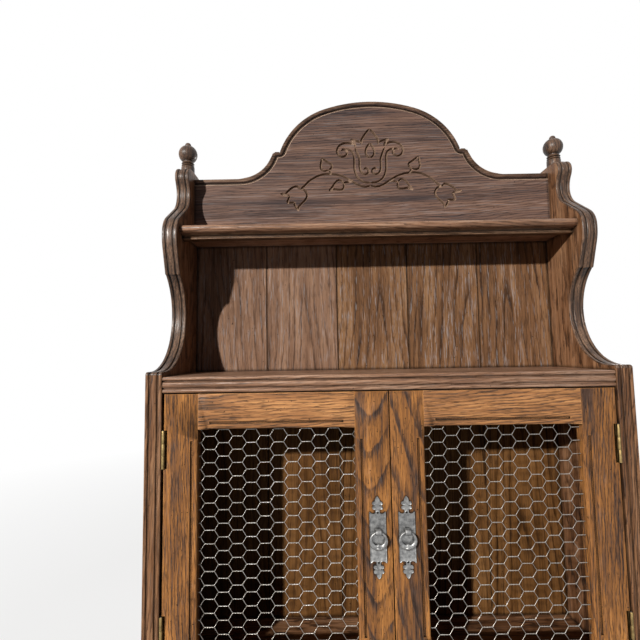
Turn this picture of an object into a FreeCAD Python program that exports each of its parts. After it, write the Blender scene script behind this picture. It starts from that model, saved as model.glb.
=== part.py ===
import FreeCAD, Part
import os
import re
from math import acos, cos, degrees, radians, sin
from FreeCAD import Placement, Rotation, Vector

# Wall display cabinet with an open shelf, a carved crest and two wire-netting doors.
# Millimetres. +X is right, +Y is towards the wall, +Z is up.
# The origin is on the floor under the middle of the case.

SIZES = {
    # Case
    "case_width": 915,
    "case_depth": 230,
    "side_thick": 32,
    "bottom_thick": 30,
    "cupboard_height": 530,
    "deck_thick": 30,
    "display_height": 303.5,
    "shelf_thick": 17,
    "shelf_setback": 85,
    "board_setback": 1.5,
    # Scrolled outline of the side panels, from the deck upwards
    "shoulder_rise": 10,
    "shoulder_radius": 6,
    "shoulder_land": 14,
    "waist_radius": 116,
    "waist_angle": 138,
    "ledge_land": 1,
    "ledge_radius": 3.5,
    "ledge_inner_radius": 1.5,
    "taper_angle": 18.4,
    "taper_radius": 88,
    "bulge_drop": 9.5,
    "bulge_land": 6,
    "bulge_radius": 48,
    "ogee_angle": 54,
    "ogee_run": 58,
    "neck_radius": 49,
    "neck_angle": 35,
    "scroll_radius": 24.5,
    # Reeded edges
    "bead_width": 7,
    "quirk_width": 2.5,
    "quirk_depth": 2.5,
    "bead_swell": 2.2,
    # Tongues of the shelves in the dados of the sides
    "tongue_length": 8,
    "tongue_thick": 10,
    "tongue_stop": 16,
    "joint_clearance": 0.1,
    # Cove moulding under the top shelf
    "cove_height": 11,
    "cove_inset": 12,
    "cove_radius": 8,
    "cove_depth": 26,
    # Back planks
    "plank_count": 5,
    "plank_thick": 14,
    "plank_lap_height": 90,
    "rabbet_width": 10,
    "plank_vee": 2.5,
    "plank_tongue": 5,
    "plank_tongue_thick": 4.5,
    # Crest board
    "crest_thick": 26,
    "crest_end": 143.5,
    "sweep_radius": 83,
    "sweep_angle": 75,
    "crest_ledge": 9.5,
    "crest_corner": 6,
    "crest_notch": 3,
    "arch_half_span": 218,
    "arch_side_radius": 170,
    "arch_spring_angle": 70,
    "arch_crown_angle": 18,
    "crest_bead": 10,
    "crest_quirk": 4,
    "crest_quirk_depth": 4,
    "crest_outer_chamfer": 4,
    "crest_inner_chamfer": 3,
    # Hanging rail and its two wall screws
    "rail_drop": 60,
    "rail_thick": 18,
    "screw_spacing": 406.4,
    "screw_radius": 2.6,
    # Turned finials
    "drum_radius": 15.5,
    "drum_height": 15,
    "finial_neck": 12,
    "finial_ring": 15,
    "finial_ring_height": 5.5,
    "finial_neck_height": 3,
    "ball_foot": 14,
    "ball_radius": 22,
    "ball_crown": 11,
    "ball_foot_height": 12,
    "ball_belly_height": 12,
    "ball_crown_height": 11,
    "button_radius": 7.5,
    "button_tip": 3,
    "button_height": 12.3,
    "finial_dowel": 5,
    "finial_dowel_length": 24,
    "finial_setback": 40,
    # Doors
    "door_gap": 2.2,
    "hinge_gap": 4.2,
    "door_setback": 3,
    "door_thick": 20,
    "stile_width": 63.5,
    "rail_width": 66,
    "tenon_length": 22,
    "tenon_thick": 7,
    "tenon_shoulder": 9,
    "net_rabbet": 8,
    "net_rabbet_depth": 10,
    "groove_radius": 2.5,
    "groove_depth": 2.6,
    "groove_inset": 12,
    "groove_stop": 21,
    # Wire netting
    "net_wire": 1.1,
    "net_twist_wire": 1.8,
    "net_row": 24.5,
    "net_column": 26,
    "net_twist": 19,
    "net_selvage": 8,
    "left_net_column": 20,
    "left_net_row": 14.5,
    "right_net_column": 6.4,
    "right_net_row": 7.4,
    # Butt hinges
    "hinge_length": 70,
    "hinge_drop": 67,
    "hinge_rise": 58,
    "knuckle_count": 3,
    "knuckle_gap": 0.3,
    "barrel_radius": 2.6,
    "barrel_clearance": 0.3,
    "leaf_thick": 1.2,
    "leaf_width": 18,
    "pin_radius": 1.3,
    "running_clearance": 0.06,
    "notch_clearance": 0.5,
    "notch_relief": 4.5,
    "notch_relief_depth": 6,
    # Pulls
    "pull_height": 294,
    "pull_inset": 25.5,
    "plate_thick": 2.2,
    "plate_width": 30,
    "plate_length": 90,
    "plate_scallop": 6,
    "scallop_spread": 8.1,
    "scallop_rise": 2.7,
    "plate_hole": 1.9,
    "plate_hole_inset": 1,
    "leaf_lobe": 3.4,
    "lobe_spread": 5.9,
    "lower_lobe_rise": 7.3,
    "upper_lobe_rise": 15.1,
    "leaf_tip_radius": 12,
    "leaf_tip_spread": 7.4,
    "leaf_tip_rise": 18.5,
    "leaf_stem": 3.9,
    "leaf_stem_length": 19,
    "eye_wall": 1.7,
    "eye_width": 10,
    "ring_drop": 4.5,
    "ring_radius": 17,
    "ring_top": 3.2,
    "ring_foot": 8.8,
    "ring_thick": 4,
    "ring_play": 0.2,
    "ring_bead": 4.8,
    "ring_bead_thick": 7,
    # Catches
    "catch_width": 36,
    "catch_depth": 16,
    "catch_height": 12,
    "catch_inset": 33,
    "strike_thick": 1.2,
    "catch_gap": 0.3,
}

# Places that follow from the sizes.
PLACES = {
    "front": "-case_depth / 2",
    "back": "case_depth / 2",
    "inner_half": "case_width / 2 - side_thick",
    "plank_front": "back - plank_thick",
    "board_front": "front + board_setback",
    "deck_bottom": "bottom_thick + cupboard_height",
    "deck_top": "deck_bottom + deck_thick",
    "shelf_bottom": "deck_top + display_height",
    "shelf_top": "shelf_bottom + shelf_thick",
    "shelf_front": "front + shelf_setback",
    "plank_top": "shelf_top + plank_lap_height",
    "crest_front": "plank_front - crest_thick",
    "rail_front": "plank_front - rail_thick",
    "rail_bottom": "deck_bottom - rail_drop",
    "door_left": "-inner_half + hinge_gap",
    "door_right": "-door_gap / 2",
    "door_bottom": "bottom_thick + door_gap",
    "door_top": "deck_bottom - door_gap",
    "door_front": "front + door_setback",
    "door_back": "door_front + door_thick",
    "sight_left": "door_left + stile_width",
    "sight_right": "door_right - stile_width",
    "sight_bottom": "door_bottom + rail_width",
    "sight_top": "door_top - rail_width",
    "net_front": "door_back - net_rabbet_depth",
    "net_back": "net_front + net_wire",
    "hinge_reach": "barrel_radius + barrel_clearance",
    "hinge_x": "-inner_half + hinge_reach",
    "hinge_y": "(front + door_front) / 2",
    "notch_x": "hinge_x + hinge_reach",
    "upper_hinge": "door_top - hinge_drop - hinge_length",
    "lower_hinge": "door_bottom + hinge_rise",
    "bore_radius": "pin_radius + running_clearance",
    "pull_x": "door_right - pull_inset",
    "plate_front": "door_front - plate_thick",
    "eye_y": "plate_front - eye_radius",
    "eye_hole": "(ring_top + ring_thick) / 2 + ring_play",
    "eye_radius": "eye_hole + eye_wall",
    "ring_z": "pull_height - ring_drop",
    "ring_bore": "ring_radius - (ring_top + ring_foot) / 2",
    "eye_z": "ring_z + ring_radius - ring_top / 2",
    "catch_x": "door_right - catch_inset",
}

doc = FreeCAD.newDocument("wall_display_cabinet")
sheet = doc.addObject("Spreadsheet::Sheet", "Sizes")
for row, (alias, amount) in enumerate(SIZES.items(), start=1):
    sheet.set(f"A{row}", alias)
    sheet.set(f"B{row}", str(amount))
    sheet.setAlias(f"B{row}", alias)
doc.recompute()

nodes = {}


# Expressions, numbers and plain solids

def sized(text):
    """Write the names of sizes and places in text as references to the sheet."""
    def reference(match):
        word = match.group(0)
        if word in PLACES:
            return f"({sized(PLACES[word])})"
        return f"Sizes.{word}" if word in SIZES else word
    return re.sub(r"[a-z_]+", reference, text)


def number(text):
    """The present value of an expression in sizes and places."""
    return float(sheet.evalExpression(sized(text)))


def bind(item, **expressions):
    for prop, text in expressions.items():
        item.setExpression(prop, sized(text))


def place(item, x="0", y="0", z="0"):
    for axis, text in zip("xyz", (x, y, z)):
        item.setExpression(f"Placement.Base.{axis}", sized(text))


def block(name, low, high):
    """A box between two corners."""
    box = doc.addObject("Part::Box", name)
    place(box, *low)
    lengths = [f"({end}) - ({start})" for start, end in zip(low, high)]
    bind(box, Length=lengths[0], Width=lengths[1], Height=lengths[2])
    return box


ALONG = {
    "x": Rotation(Vector(0, 1, 0), 90),
    "y": Rotation(Vector(1, 0, 0), -90),
    "z": Rotation(),
}


def rod(name, axis, radius, length, start):
    """A round bar that runs from start along an axis."""
    bar = doc.addObject("Part::Cylinder", name)
    bar.Placement = Placement(Vector(), ALONG[axis])
    place(bar, *start)
    bind(bar, Radius=radius, Height=length)
    return bar


def fuse(name, *pieces):
    joined = doc.addObject("Part::MultiFuse", name)
    joined.Shapes = pieces
    return joined


def carve(name, base, *tools):
    """Base with the tools cut out of it."""
    cut = doc.addObject("Part::Cut", name)
    cut.Base = base
    cut.Tool = tools[0] if len(tools) == 1 else fuse(f"{name}_tools", *tools)
    return cut


def group(name, *pieces):
    """Separate solids that make one node."""
    together = doc.addObject("Part::Compound", name)
    together.Links = pieces
    return together


def keep(name, item):
    """Name a finished sub-part."""
    item.Label = name
    nodes[name] = item
    return item


def mirror(item):
    """The mirror image of an item on the other side of the middle."""
    image = doc.addObject("Part::Mirroring", f"{item.Name}_image")
    image.Source = item
    image.Normal = Vector(1, 0, 0)
    return image


def keep_pair(name, left_item):
    """Name a left-hand sub-part and its mirror image on the right."""
    keep(f"{name}_left", left_item)
    keep(f"{name}_right", mirror(left_item))


# Outlines and bodies

class Path:
    """Runs and bends of an outline, drawn by a point that moves along a heading in degrees."""

    def __init__(self, x, y, heading):
        self.x = x
        self.y = y
        self.heading = heading
        self.pieces = []

    def run(self, length):
        start = Vector(self.x, self.y, 0)
        self.x += length * cos(radians(self.heading))
        self.y += length * sin(radians(self.heading))
        self.pieces.append(Part.LineSegment(start, Vector(self.x, self.y, 0)))

    def run_to(self, x, y):
        start = Vector(self.x, self.y, 0)
        self.x = x
        self.y = y
        self.pieces.append(Part.LineSegment(start, Vector(x, y, 0)))

    def bend(self, turn, radius):
        """Turn by an angle, to the left where it is positive."""
        side = 1 if turn > 0 else -1
        spoke = self.heading - 90 * side
        middle = Vector(self.x - radius * cos(radians(spoke)), self.y - radius * sin(radians(spoke)), 0)
        self.x = middle.x + radius * cos(radians(spoke + turn))
        self.y = middle.y + radius * sin(radians(spoke + turn))
        self.heading += turn
        ends = sorted((radians(spoke), radians(spoke + turn)))
        circle = Part.Circle(middle, Vector(0, 0, 1), radius)
        self.pieces.append(Part.ArcOfCircle(circle, ends[0], ends[1]))

    def swell(self, x, y, mid_x, mid_y):
        """A round stretch through a middle point to an end point."""
        points = (Vector(self.x, self.y, 0), Vector(mid_x, mid_y, 0), Vector(x, y, 0))
        self.pieces.append(Part.Arc(*points))
        self.x = x
        self.y = y


def draw(body, plane, pieces, offset):
    """A sketch of the pieces on one of the body's planes, moved along its normal."""
    sketch = body.newObject("Sketcher::SketchObject", f"{body.Name}_sketch")
    roles = {feature.Role: feature for feature in body.Origin.OriginFeatures}
    sketch.AttachmentSupport = [(roles[plane], "")]
    sketch.MapMode = "FlatFace"
    sketch.setExpression("AttachmentOffset.Base.z", sized(offset))
    sketch.addGeometry(pieces, False)
    return sketch


def pad(name, plane, pieces, length, offset="0"):
    """A body made by padding an outline."""
    body = doc.addObject("PartDesign::Body", name)
    feature = body.newObject("PartDesign::Pad", f"{name}_pad")
    feature.Profile = draw(body, plane, pieces, offset)
    bind(feature, Length=length)
    return body


def pocket(body, plane, pieces, depth, offset):
    """Cut an outline into a body, against the normal of its plane."""
    sketch = draw(body, plane, pieces, offset)
    doc.recompute()
    before = body.Shape.Volume
    feature = body.newObject("PartDesign::Pocket", f"{body.Name}_pocket")
    feature.Profile = sketch
    bind(feature, Length=depth)
    doc.recompute()
    if body.Shape.Volume >= before:
        raise RuntimeError(f"the pocket of {body.Name} cuts nothing")


def strip(outer, inner):
    """The closed outline between two paths that start and end side by side."""
    start = Part.LineSegment(first_point(outer), first_point(inner))
    end = Part.LineSegment(Vector(outer.x, outer.y, 0), Vector(inner.x, inner.y, 0))
    return outer.pieces + inner.pieces + [start, end]


def first_point(path):
    return path.pieces[0].StartPoint


# Side panels

def side_edge(inset):
    """The scrolled front edge of a side panel in the YZ plane, drawn in by an inset."""
    def turn(path, angle, radius):
        path.bend(angle, radius + inset if angle > 0 else radius - inset)

    lean = number("taper_angle")
    path = Path(number("front") + inset, 0, 90)
    path.run(number("deck_top + shoulder_rise - shoulder_radius"))
    turn(path, -90, number("shoulder_radius"))
    path.run(number("shoulder_land"))
    turn(path, number("waist_angle"), number("waist_radius"))
    turn(path, 180 - number("waist_angle"), number("ledge_inner_radius"))
    path.run(number("ledge_land"))
    turn(path, lean - 90, number("ledge_radius"))
    taper_end = number("shelf_bottom - bulge_drop") - (number("taper_radius") - inset) * sin(radians(lean))
    path.run((taper_end - path.y) / cos(radians(lean)))
    turn(path, -lean, number("taper_radius"))
    path.run(number("bulge_land"))
    turn(path, -number("ogee_angle"), number("bulge_radius"))
    path.run(number("ogee_run"))
    turn(path, number("ogee_angle + neck_angle"), number("neck_radius"))
    turn(path, -number("90 + neck_angle"), number("scroll_radius"))
    return path


def dado(name, front_edge, middle):
    """The slot in the left side panel for a shelf's tongue."""
    return block(
        name,
        ("-inner_half - tongue_length - joint_clearance", f"{front_edge} + tongue_stop - joint_clearance",
         f"{middle} - tongue_thick / 2 - joint_clearance"),
        ("-inner_half", "plank_front", f"{middle} + tongue_thick / 2 + joint_clearance"))


BOTTOM_MIDDLE = "bottom_thick / 2"
DECK_MIDDLE = "deck_bottom + deck_thick / 2"
SHELF_MIDDLE = "shelf_bottom + shelf_thick / 2"


def side_panels():
    outline = side_edge(0)
    side_top = outline.y
    outline.run_to(number("back"), side_top)
    outline.run_to(number("back"), 0)
    outline.run_to(number("front"), 0)
    panel = pad("side_board", "YZ_Plane", outline.pieces, "side_thick", "-case_width / 2")
    groove = strip(side_edge(0), side_edge(number("quirk_depth")))
    outer_quirk = "-case_width / 2 + bead_width + quirk_width"
    inner_quirk = "-inner_half - bead_width"
    for quirk_end in (outer_quirk, inner_quirk):
        pocket(panel, "YZ_Plane", groove, "quirk_width", quirk_end)
    plank_rabbet = block(
        "plank_rabbet",
        ("-inner_half - rabbet_width", "plank_front", "0"),
        ("-inner_half", "back", "plank_top"))
    dowel_hole = rod(
        "dowel_hole", "z", "finial_dowel + joint_clearance", "finial_dowel_length + joint_clearance",
        ("-inner_half - side_thick / 2", "back - finial_setback",
         f"{side_top} - finial_dowel_length - joint_clearance"))
    cut_panel = carve(
        "side_cut", panel, plank_rabbet, dowel_hole,
        dado("bottom_dado", "board_front", BOTTOM_MIDDLE),
        dado("deck_dado", "board_front", DECK_MIDDLE),
        dado("shelf_dado", "shelf_front", SHELF_MIDDLE))
    keep_pair("side_panel", cut_panel)
    return side_top


# Shelves between the sides

def tongues(name, front_edge, middle):
    """The tongue at each end of a shelf, made as one long bar through it."""
    return block(
        name,
        ("-inner_half - tongue_length", f"{front_edge} + tongue_stop", f"{middle} - tongue_thick / 2"),
        ("inner_half + tongue_length", "plank_front", f"{middle} + tongue_thick / 2"))


def reeded_board(name, low, thick, middle):
    """A shelf whose front edge has a bead, a wide reed and a bead, with quirks between them."""
    edge = number("board_front")
    swell = edge + number("bead_swell")
    deep = edge + number("bead_swell + quirk_depth")
    bottom = number(low)
    top = number(f"{low} + {thick}")
    bead = number("bead_width")
    quirk = number("quirk_width")
    path = Path(number("plank_front"), bottom, 180)
    path.run_to(swell, bottom)
    path.swell(swell, bottom + bead, edge, bottom + bead / 2)
    path.run_to(deep, bottom + bead)
    path.run_to(deep, bottom + bead + quirk)
    path.run_to(swell, bottom + bead + quirk)
    path.swell(swell, top - bead - quirk, edge, (bottom + top) / 2)
    path.run_to(deep, top - bead - quirk)
    path.run_to(deep, top - bead)
    path.run_to(swell, top - bead)
    path.swell(swell, top, edge, top - bead / 2)
    path.run_to(number("plank_front"), top)
    path.run_to(number("plank_front"), bottom)
    board = pad(f"{name}_body", "YZ_Plane", path.pieces, "2 * inner_half", "-inner_half")
    keep(name, fuse(f"{name}_joined", board, tongues(f"{name}_tongues", "board_front", middle)))


def top_shelf():
    """The shelf under the crest, with a full round nose."""
    nose = number("shelf_thick") / 2
    edge = number("shelf_front")
    bottom = number("shelf_bottom")
    top = number("shelf_top")
    path = Path(number("plank_front"), bottom, 180)
    path.run_to(edge + nose, bottom)
    path.swell(edge + nose, top, edge, bottom + nose)
    path.run_to(number("plank_front"), top)
    path.run_to(number("plank_front"), bottom)
    board = pad("top_shelf_body", "YZ_Plane", path.pieces, "2 * inner_half", "-inner_half")
    ends = tongues("top_shelf_tongues", "shelf_front", SHELF_MIDDLE)
    keep("top_shelf", fuse("top_shelf_joined", board, ends))


def cove_moulding():
    """The moulding under the top shelf: a cove that ends in a small bead."""
    edge = number("shelf_front + cove_inset")
    top = number("shelf_bottom")
    bottom = number("shelf_bottom - cove_height")
    radius = number("cove_radius")
    bead = number("cove_height - cove_radius") / 2
    path = Path(edge, top, -90)
    path.swell(
        edge + radius, top - radius,
        edge + radius * sin(radians(45)), top - radius * (1 - cos(radians(45))))
    path.swell(edge + radius, bottom, edge + radius - bead, bottom + bead)
    path.run_to(edge + number("cove_depth"), bottom)
    path.run_to(edge + number("cove_depth"), top)
    path.run_to(edge, top)
    keep("cove_moulding", pad("cove_body", "YZ_Plane", path.pieces, "2 * inner_half", "-inner_half"))


# Back planks, tongued and grooved, with a V along each joint

def back_planks():
    count = int(number("plank_count"))
    pitch = f"(2 * inner_half / {count})"
    for index in range(count):
        low = f"-inner_half + {index} * {pitch}" if index else "-inner_half - rabbet_width"
        high = f"-inner_half + {index + 1} * {pitch}" if index < count - 1 else "inner_half + rabbet_width"
        keep(f"back_plank_{index + 1}", plank(index + 1, low, high, index > 0, index < count - 1))


def plank(order, low, high, grooved, tongued):
    """One plank: a groove in its left edge where a neighbour's tongue enters, a tongue on its right edge."""
    left = number(low)
    right = number(high)
    face = number("plank_front")
    rear = number("back")
    vee = number("plank_vee")
    path = Path(left, rear, -90)
    tongue_low = (face + rear - number("plank_tongue_thick")) / 2
    tongue_high = tongue_low + number("plank_tongue_thick")
    if grooved:
        slack = number("joint_clearance")
        depth = left + number("plank_tongue") + slack
        path.run_to(left, tongue_high + slack)
        path.run_to(depth, tongue_high + slack)
        path.run_to(depth, tongue_low - slack)
        path.run_to(left, tongue_low - slack)
        path.run_to(left, face + vee)
        path.run_to(left + vee, face)
    else:
        path.run_to(left, face)
    if tongued:
        path.run_to(right - vee, face)
        path.run_to(right, face + vee)
        path.run_to(right, tongue_low)
        path.run_to(right + number("plank_tongue"), tongue_low)
        path.run_to(right + number("plank_tongue"), tongue_high)
        path.run_to(right, tongue_high)
        path.run_to(right, rear)
    else:
        path.run_to(right, face)
        path.run_to(right, rear)
    path.run_to(left, rear)
    return pad(f"plank_{order}", "XY_Plane", path.pieces, "plank_top")


# Crest board

def crest_edge(inset):
    """The top edge of the crest in the XZ plane, drawn in by an inset past the ledge's corner radius."""
    sweep = number("sweep_angle")
    spring = number("arch_spring_angle")
    crown = number("arch_crown_angle")
    notch = number("crest_notch")
    corner = number("crest_corner")
    sweep_radius = number("sweep_radius")
    side_radius = number("arch_side_radius")
    ledge_start = number("arch_half_span") + notch * sin(radians(spring))
    flat_end = ledge_start + number("crest_ledge") + (corner + sweep_radius) * sin(radians(sweep))
    rise = (sweep_radius + corner) * (1 - cos(radians(sweep)))
    side_run = side_radius * (sin(radians(spring)) - sin(radians(crown)))
    crown_radius = (number("arch_half_span") - side_run) / sin(radians(crown))
    meeting = degrees(acos(1 - rise / (sweep_radius + inset)))

    path = Path(-number("inner_half"), number("shelf_top + crest_end") - inset, 0)
    path.run(number("inner_half") - flat_end)
    if inset < corner:
        path.bend(sweep, sweep_radius + inset)
        path.bend(-sweep, corner - inset)
    else:
        path.bend(meeting, sweep_radius + inset)
        path.heading = 0
    path.run(-ledge_start - path.x)
    path.bend(spring, notch + inset)
    path.bend(crown - spring, side_radius - inset)
    path.bend(-2 * crown, crown_radius - inset)
    path.bend(crown - spring, side_radius - inset)
    path.bend(spring, notch + inset)
    if inset < corner:
        path.run(number("crest_ledge"))
        path.bend(-sweep, corner - inset)
        path.bend(sweep, sweep_radius + inset)
    else:
        path.run(flat_end - (sweep_radius + inset) * sin(radians(meeting)) - path.x)
        path.heading = -meeting
        path.bend(meeting, sweep_radius + inset)
    path.run(number("inner_half") - path.x)
    return path


def crest_board():
    outline = crest_edge(0)
    outline.run_to(outline.x, number("shelf_top"))
    outline.run_to(-number("inner_half"), number("shelf_top"))
    outline.run_to(-number("inner_half"), number("shelf_top + crest_end"))
    crest = pad("crest", "XZ_Plane", outline.pieces, "crest_thick", "-plank_front")
    bead = number("crest_bead")
    groove = strip(crest_edge(bead), crest_edge(bead + number("crest_quirk")))
    pocket(crest, "XZ_Plane", groove, "crest_quirk_depth", "-crest_front")
    chamfer_edges(crest, crest_edge(0), "crest_outer_chamfer")
    chamfer_edges(crest, crest_edge(bead), "crest_inner_chamfer")
    keep("crest_board", crest)


def chamfer_edges(crest, path, size):
    """Chamfer the edges of the crest's front face that follow a path."""
    doc.recompute()
    base = crest.Tip
    face_y = number("crest_front")
    names = []
    for piece in path.pieces:
        middle = piece.value((piece.FirstParameter + piece.LastParameter) / 2)
        spot = Part.Vertex(middle.x, face_y, middle.y)
        for order, edge in enumerate(base.Shape.Edges, start=1):
            if edge.distToShape(spot)[0] < number("joint_clearance"):
                names.append(f"Edge{order}")
    feature = crest.newObject("PartDesign::Chamfer", "crest_chamfer")
    feature.Base = (base, names)
    bind(feature, Size=size)
    doc.recompute()


# Hanging rail, screwed to the wall through two planks

def screw_holes(name):
    return [
        rod(f"{name}_{side}", "y", "screw_radius", "rail_thick + plank_thick",
            (f"{sign} * screw_spacing / 2", "rail_front", "deck_bottom - rail_drop / 2"))
        for side, sign in (("left", -1), ("right", 1))]


def hanging_rail():
    rail = block(
        "rail", ("-inner_half", "rail_front", "rail_bottom"), ("inner_half", "plank_front", "deck_bottom"))
    keep("hanging_rail", carve("rail_drilled", rail, *screw_holes("rail_hole")))
    for index, item in ((2, nodes["back_plank_2"]), (4, nodes["back_plank_4"])):
        holes = screw_holes(f"plank_{index}_hole")
        keep(f"back_plank_{index}", carve(f"plank_{index}_drilled", item, *holes))


# Finials

def finials(side_top):
    """A turned drum, two rings, a neck, a flattened ball and a button, on a dowel."""
    neck = number("finial_neck")
    ring = number("finial_ring_height")
    path = Path(0, -number("finial_dowel_length"), 0)
    path.run_to(number("finial_dowel"), path.y)
    path.run_to(path.x, 0)
    path.run_to(number("drum_radius"), 0)
    path.run_to(path.x, number("drum_height"))
    path.run_to(neck, path.y)
    for _ in range(2):
        path.run_to(number("finial_ring"), path.y + ring / 2)
        path.run_to(neck, path.y + ring / 2)
    path.run_to(neck, path.y + number("finial_neck_height"))
    path.run_to(number("ball_foot"), path.y)
    path.run_to(number("ball_radius"), path.y + number("ball_foot_height"))
    path.run_to(path.x, path.y + number("ball_belly_height"))
    path.run_to(number("ball_crown"), path.y + number("ball_crown_height"))
    path.run_to(number("button_radius"), path.y)
    path.run_to(number("button_tip"), path.y + number("button_height"))
    path.run_to(0, path.y)
    path.run_to(0, -number("finial_dowel_length"))
    body = doc.addObject("PartDesign::Body", "finial")
    turning = body.newObject("PartDesign::Revolution", "finial_turning")
    sketch = draw(body, "XZ_Plane", path.pieces, "0")
    turning.Profile = sketch
    turning.ReferenceAxis = (sketch, ["V_Axis"])
    place(body, "-inner_half - side_thick / 2", "back - finial_setback", str(side_top))
    keep("finials", group("finial_pair", body, mirror(body)))


# Door frames

def tenon_ends(name, rail_low, rail_high, clearance):
    """The bar that makes the tenons of a rail, or cuts their mortises with a clearance."""
    return block(
        name,
        (f"sight_left - tenon_length - {clearance}",
         f"door_front + (door_thick - tenon_thick) / 2 - {clearance}",
         f"{rail_low} + tenon_shoulder - {clearance}"),
        (f"sight_right + tenon_length + {clearance}",
         f"door_front + (door_thick + tenon_thick) / 2 + {clearance}",
         f"{rail_high} - tenon_shoulder + {clearance}"))


def net_recess(name):
    """The rabbet behind the sight opening, for the netting and its stops."""
    return block(
        name,
        ("sight_left - net_rabbet", "net_front", "sight_bottom - net_rabbet"),
        ("sight_right + net_rabbet", "door_back", "sight_top + net_rabbet"))


def hinge_notch(name, start):
    """The notch in the door's edge for both leaves of a hinge, wider at the front, beside the barrel."""
    low = f"{start} - notch_clearance"
    high = f"{start} + hinge_length + notch_clearance"
    seat = block(f"{name}_seat", ("door_left", "door_front", low), ("notch_x", "door_back", high))
    relief = block(
        f"{name}_relief",
        ("door_left", "door_front", low),
        ("notch_x + notch_relief", "door_front + notch_relief_depth", high))
    return fuse(name, seat, relief)


GROOVE_Y = "door_front + groove_depth - groove_radius"


def upright_groove(name, x):
    """The round groove beside the sight opening, stopped short of its corners."""
    return rod(
        name, "z", "groove_radius", "sight_top - sight_bottom - 2 * groove_stop",
        (x, GROOVE_Y, "sight_bottom + groove_stop"))


def level_groove(name, z):
    return rod(
        name, "x", "groove_radius", "sight_right - sight_left - 2 * groove_stop",
        ("sight_left + groove_stop", GROOVE_Y, z))


RAILS = {
    "bottom_rail": ("door_bottom", "sight_bottom", "sight_bottom - groove_inset"),
    "top_rail": ("sight_top", "door_top", "sight_top + groove_inset"),
}


def door_frame():
    stiles = {
        "hinge_stile": ("door_left", "sight_left", "sight_left - groove_inset"),
        "meeting_stile": ("sight_right", "door_right", "sight_right + groove_inset"),
    }
    for name, (low, high, groove_x) in stiles.items():
        board = block(f"{name}_board", (low, "door_front", "door_bottom"), (high, "door_back", "door_top"))
        cuts = [net_recess(f"{name}_recess"), upright_groove(f"{name}_groove", groove_x)]
        for rail, (rail_low, rail_high, _) in RAILS.items():
            cuts.append(tenon_ends(f"{name}_{rail}_mortise", rail_low, rail_high, "joint_clearance"))
        if name == "hinge_stile":
            cuts.append(hinge_notch("upper_notch", "upper_hinge"))
            cuts.append(hinge_notch("lower_notch", "lower_hinge"))
        keep_pair(name, carve(f"{name}_cut", board, *cuts))
    for name, (low, high, groove_z) in RAILS.items():
        board = block(
            f"{name}_board", ("sight_left", "door_front", low), ("sight_right", "door_back", high))
        tenoned = fuse(f"{name}_tenoned", board, tenon_ends(f"{name}_tenons", low, high, "0"))
        cuts = [net_recess(f"{name}_recess"), level_groove(f"{name}_groove", groove_z)]
        keep_pair(name, carve(f"{name}_cut", tenoned, *cuts))


# Wire netting and its stops

def clip(points, axis, limit, sign):
    """The part of a polygon on one side of a line across an axis."""
    kept = []
    for here, there in zip(points, points[1:] + points[:1]):
        here_in = sign * (here[axis] - limit) <= 0
        there_in = sign * (there[axis] - limit) <= 0
        if here_in:
            kept.append(here)
        if here_in != there_in:
            share = (limit - here[axis]) / (there[axis] - here[axis])
            kept.append(tuple(a + share * (b - a) for a, b in zip(here, there)))
    return kept


def net_cell(x, z):
    """One six-sided gap, whose level sides are the twisted wires."""
    flat = number("net_twist / 2")
    point = number("net_column - net_twist / 2 - net_wire / 2")
    half = number("net_row / 2 - net_twist_wire / 2")
    corners = ((flat, -half), (point, 0), (flat, half), (-flat, half), (-point, 0), (-flat, -half))
    return [(x + across, z + up) for across, up in corners]


def wire_net(side):
    """Netting in the left door's place, with the cells of one side's door, as one holed sheet."""
    slack = number("joint_clearance")
    low_x = number("sight_left - net_rabbet") + slack
    high_x = number("sight_right + net_rabbet") - slack
    low_z = number("sight_bottom - net_rabbet") + slack
    high_z = number("sight_top + net_rabbet") - slack
    margin = number("net_selvage")
    limits = (
        (0, low_x + margin, -1), (0, high_x - margin, 1),
        (1, low_z + margin, -1), (1, high_z - margin, 1))
    face_y = number("net_front")
    column_step = number("net_column")
    row_step = number("net_row")
    first_x = number(f"sight_left + {side}_net_column")
    first_z = number(f"sight_top - {side}_net_row") - row_step / 2

    def loop(points):
        corners = [Vector(x, face_y, z) for x, z in points]
        return Part.makePolygon(corners + corners[:1])

    gaps = []
    for column in range(-2, int((high_x - first_x) / column_step) + 2):
        shift = row_step / 2 if column % 2 else 0
        for row in range(-2, int((first_z - low_z) / row_step) + 3):
            points = net_cell(first_x + column * column_step, first_z + shift - row * row_step)
            for axis, limit, sign in limits:
                points = clip(points, axis, limit, sign)
            if len(points) > 2 and Part.Face(loop(points)).Area > margin ** 2:
                gaps.append(loop(points))
    edge = loop(((low_x, low_z), (high_x, low_z), (high_x, high_z), (low_x, high_z)))
    holed_face = Part.makeFace([edge] + gaps, "Part::FaceMakerBullseye")
    net = doc.addObject("Part::Feature", f"{side}_net")
    net.Shape = holed_face.extrude(Vector(0, number("net_wire"), 0))
    return net


def net_stops():
    """Four strips that hold the netting in the rabbet."""
    bars = []
    for name, low, high in (
            ("left", "sight_left - net_rabbet", "sight_left"),
            ("right", "sight_right", "sight_right + net_rabbet")):
        bars.append(block(
            f"stop_{name}",
            (low, "net_back", "sight_bottom - net_rabbet"),
            (high, "door_back", "sight_top + net_rabbet")))
    for name, low, high in (
            ("bottom", "sight_bottom - net_rabbet", "sight_bottom"),
            ("top", "sight_top", "sight_top + net_rabbet")):
        bars.append(block(
            f"stop_{name}", ("sight_left", "net_back", low), ("sight_right", "door_back", high)))
    keep_pair("net_stops", group("stops", *bars))


# Butt hinges

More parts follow.
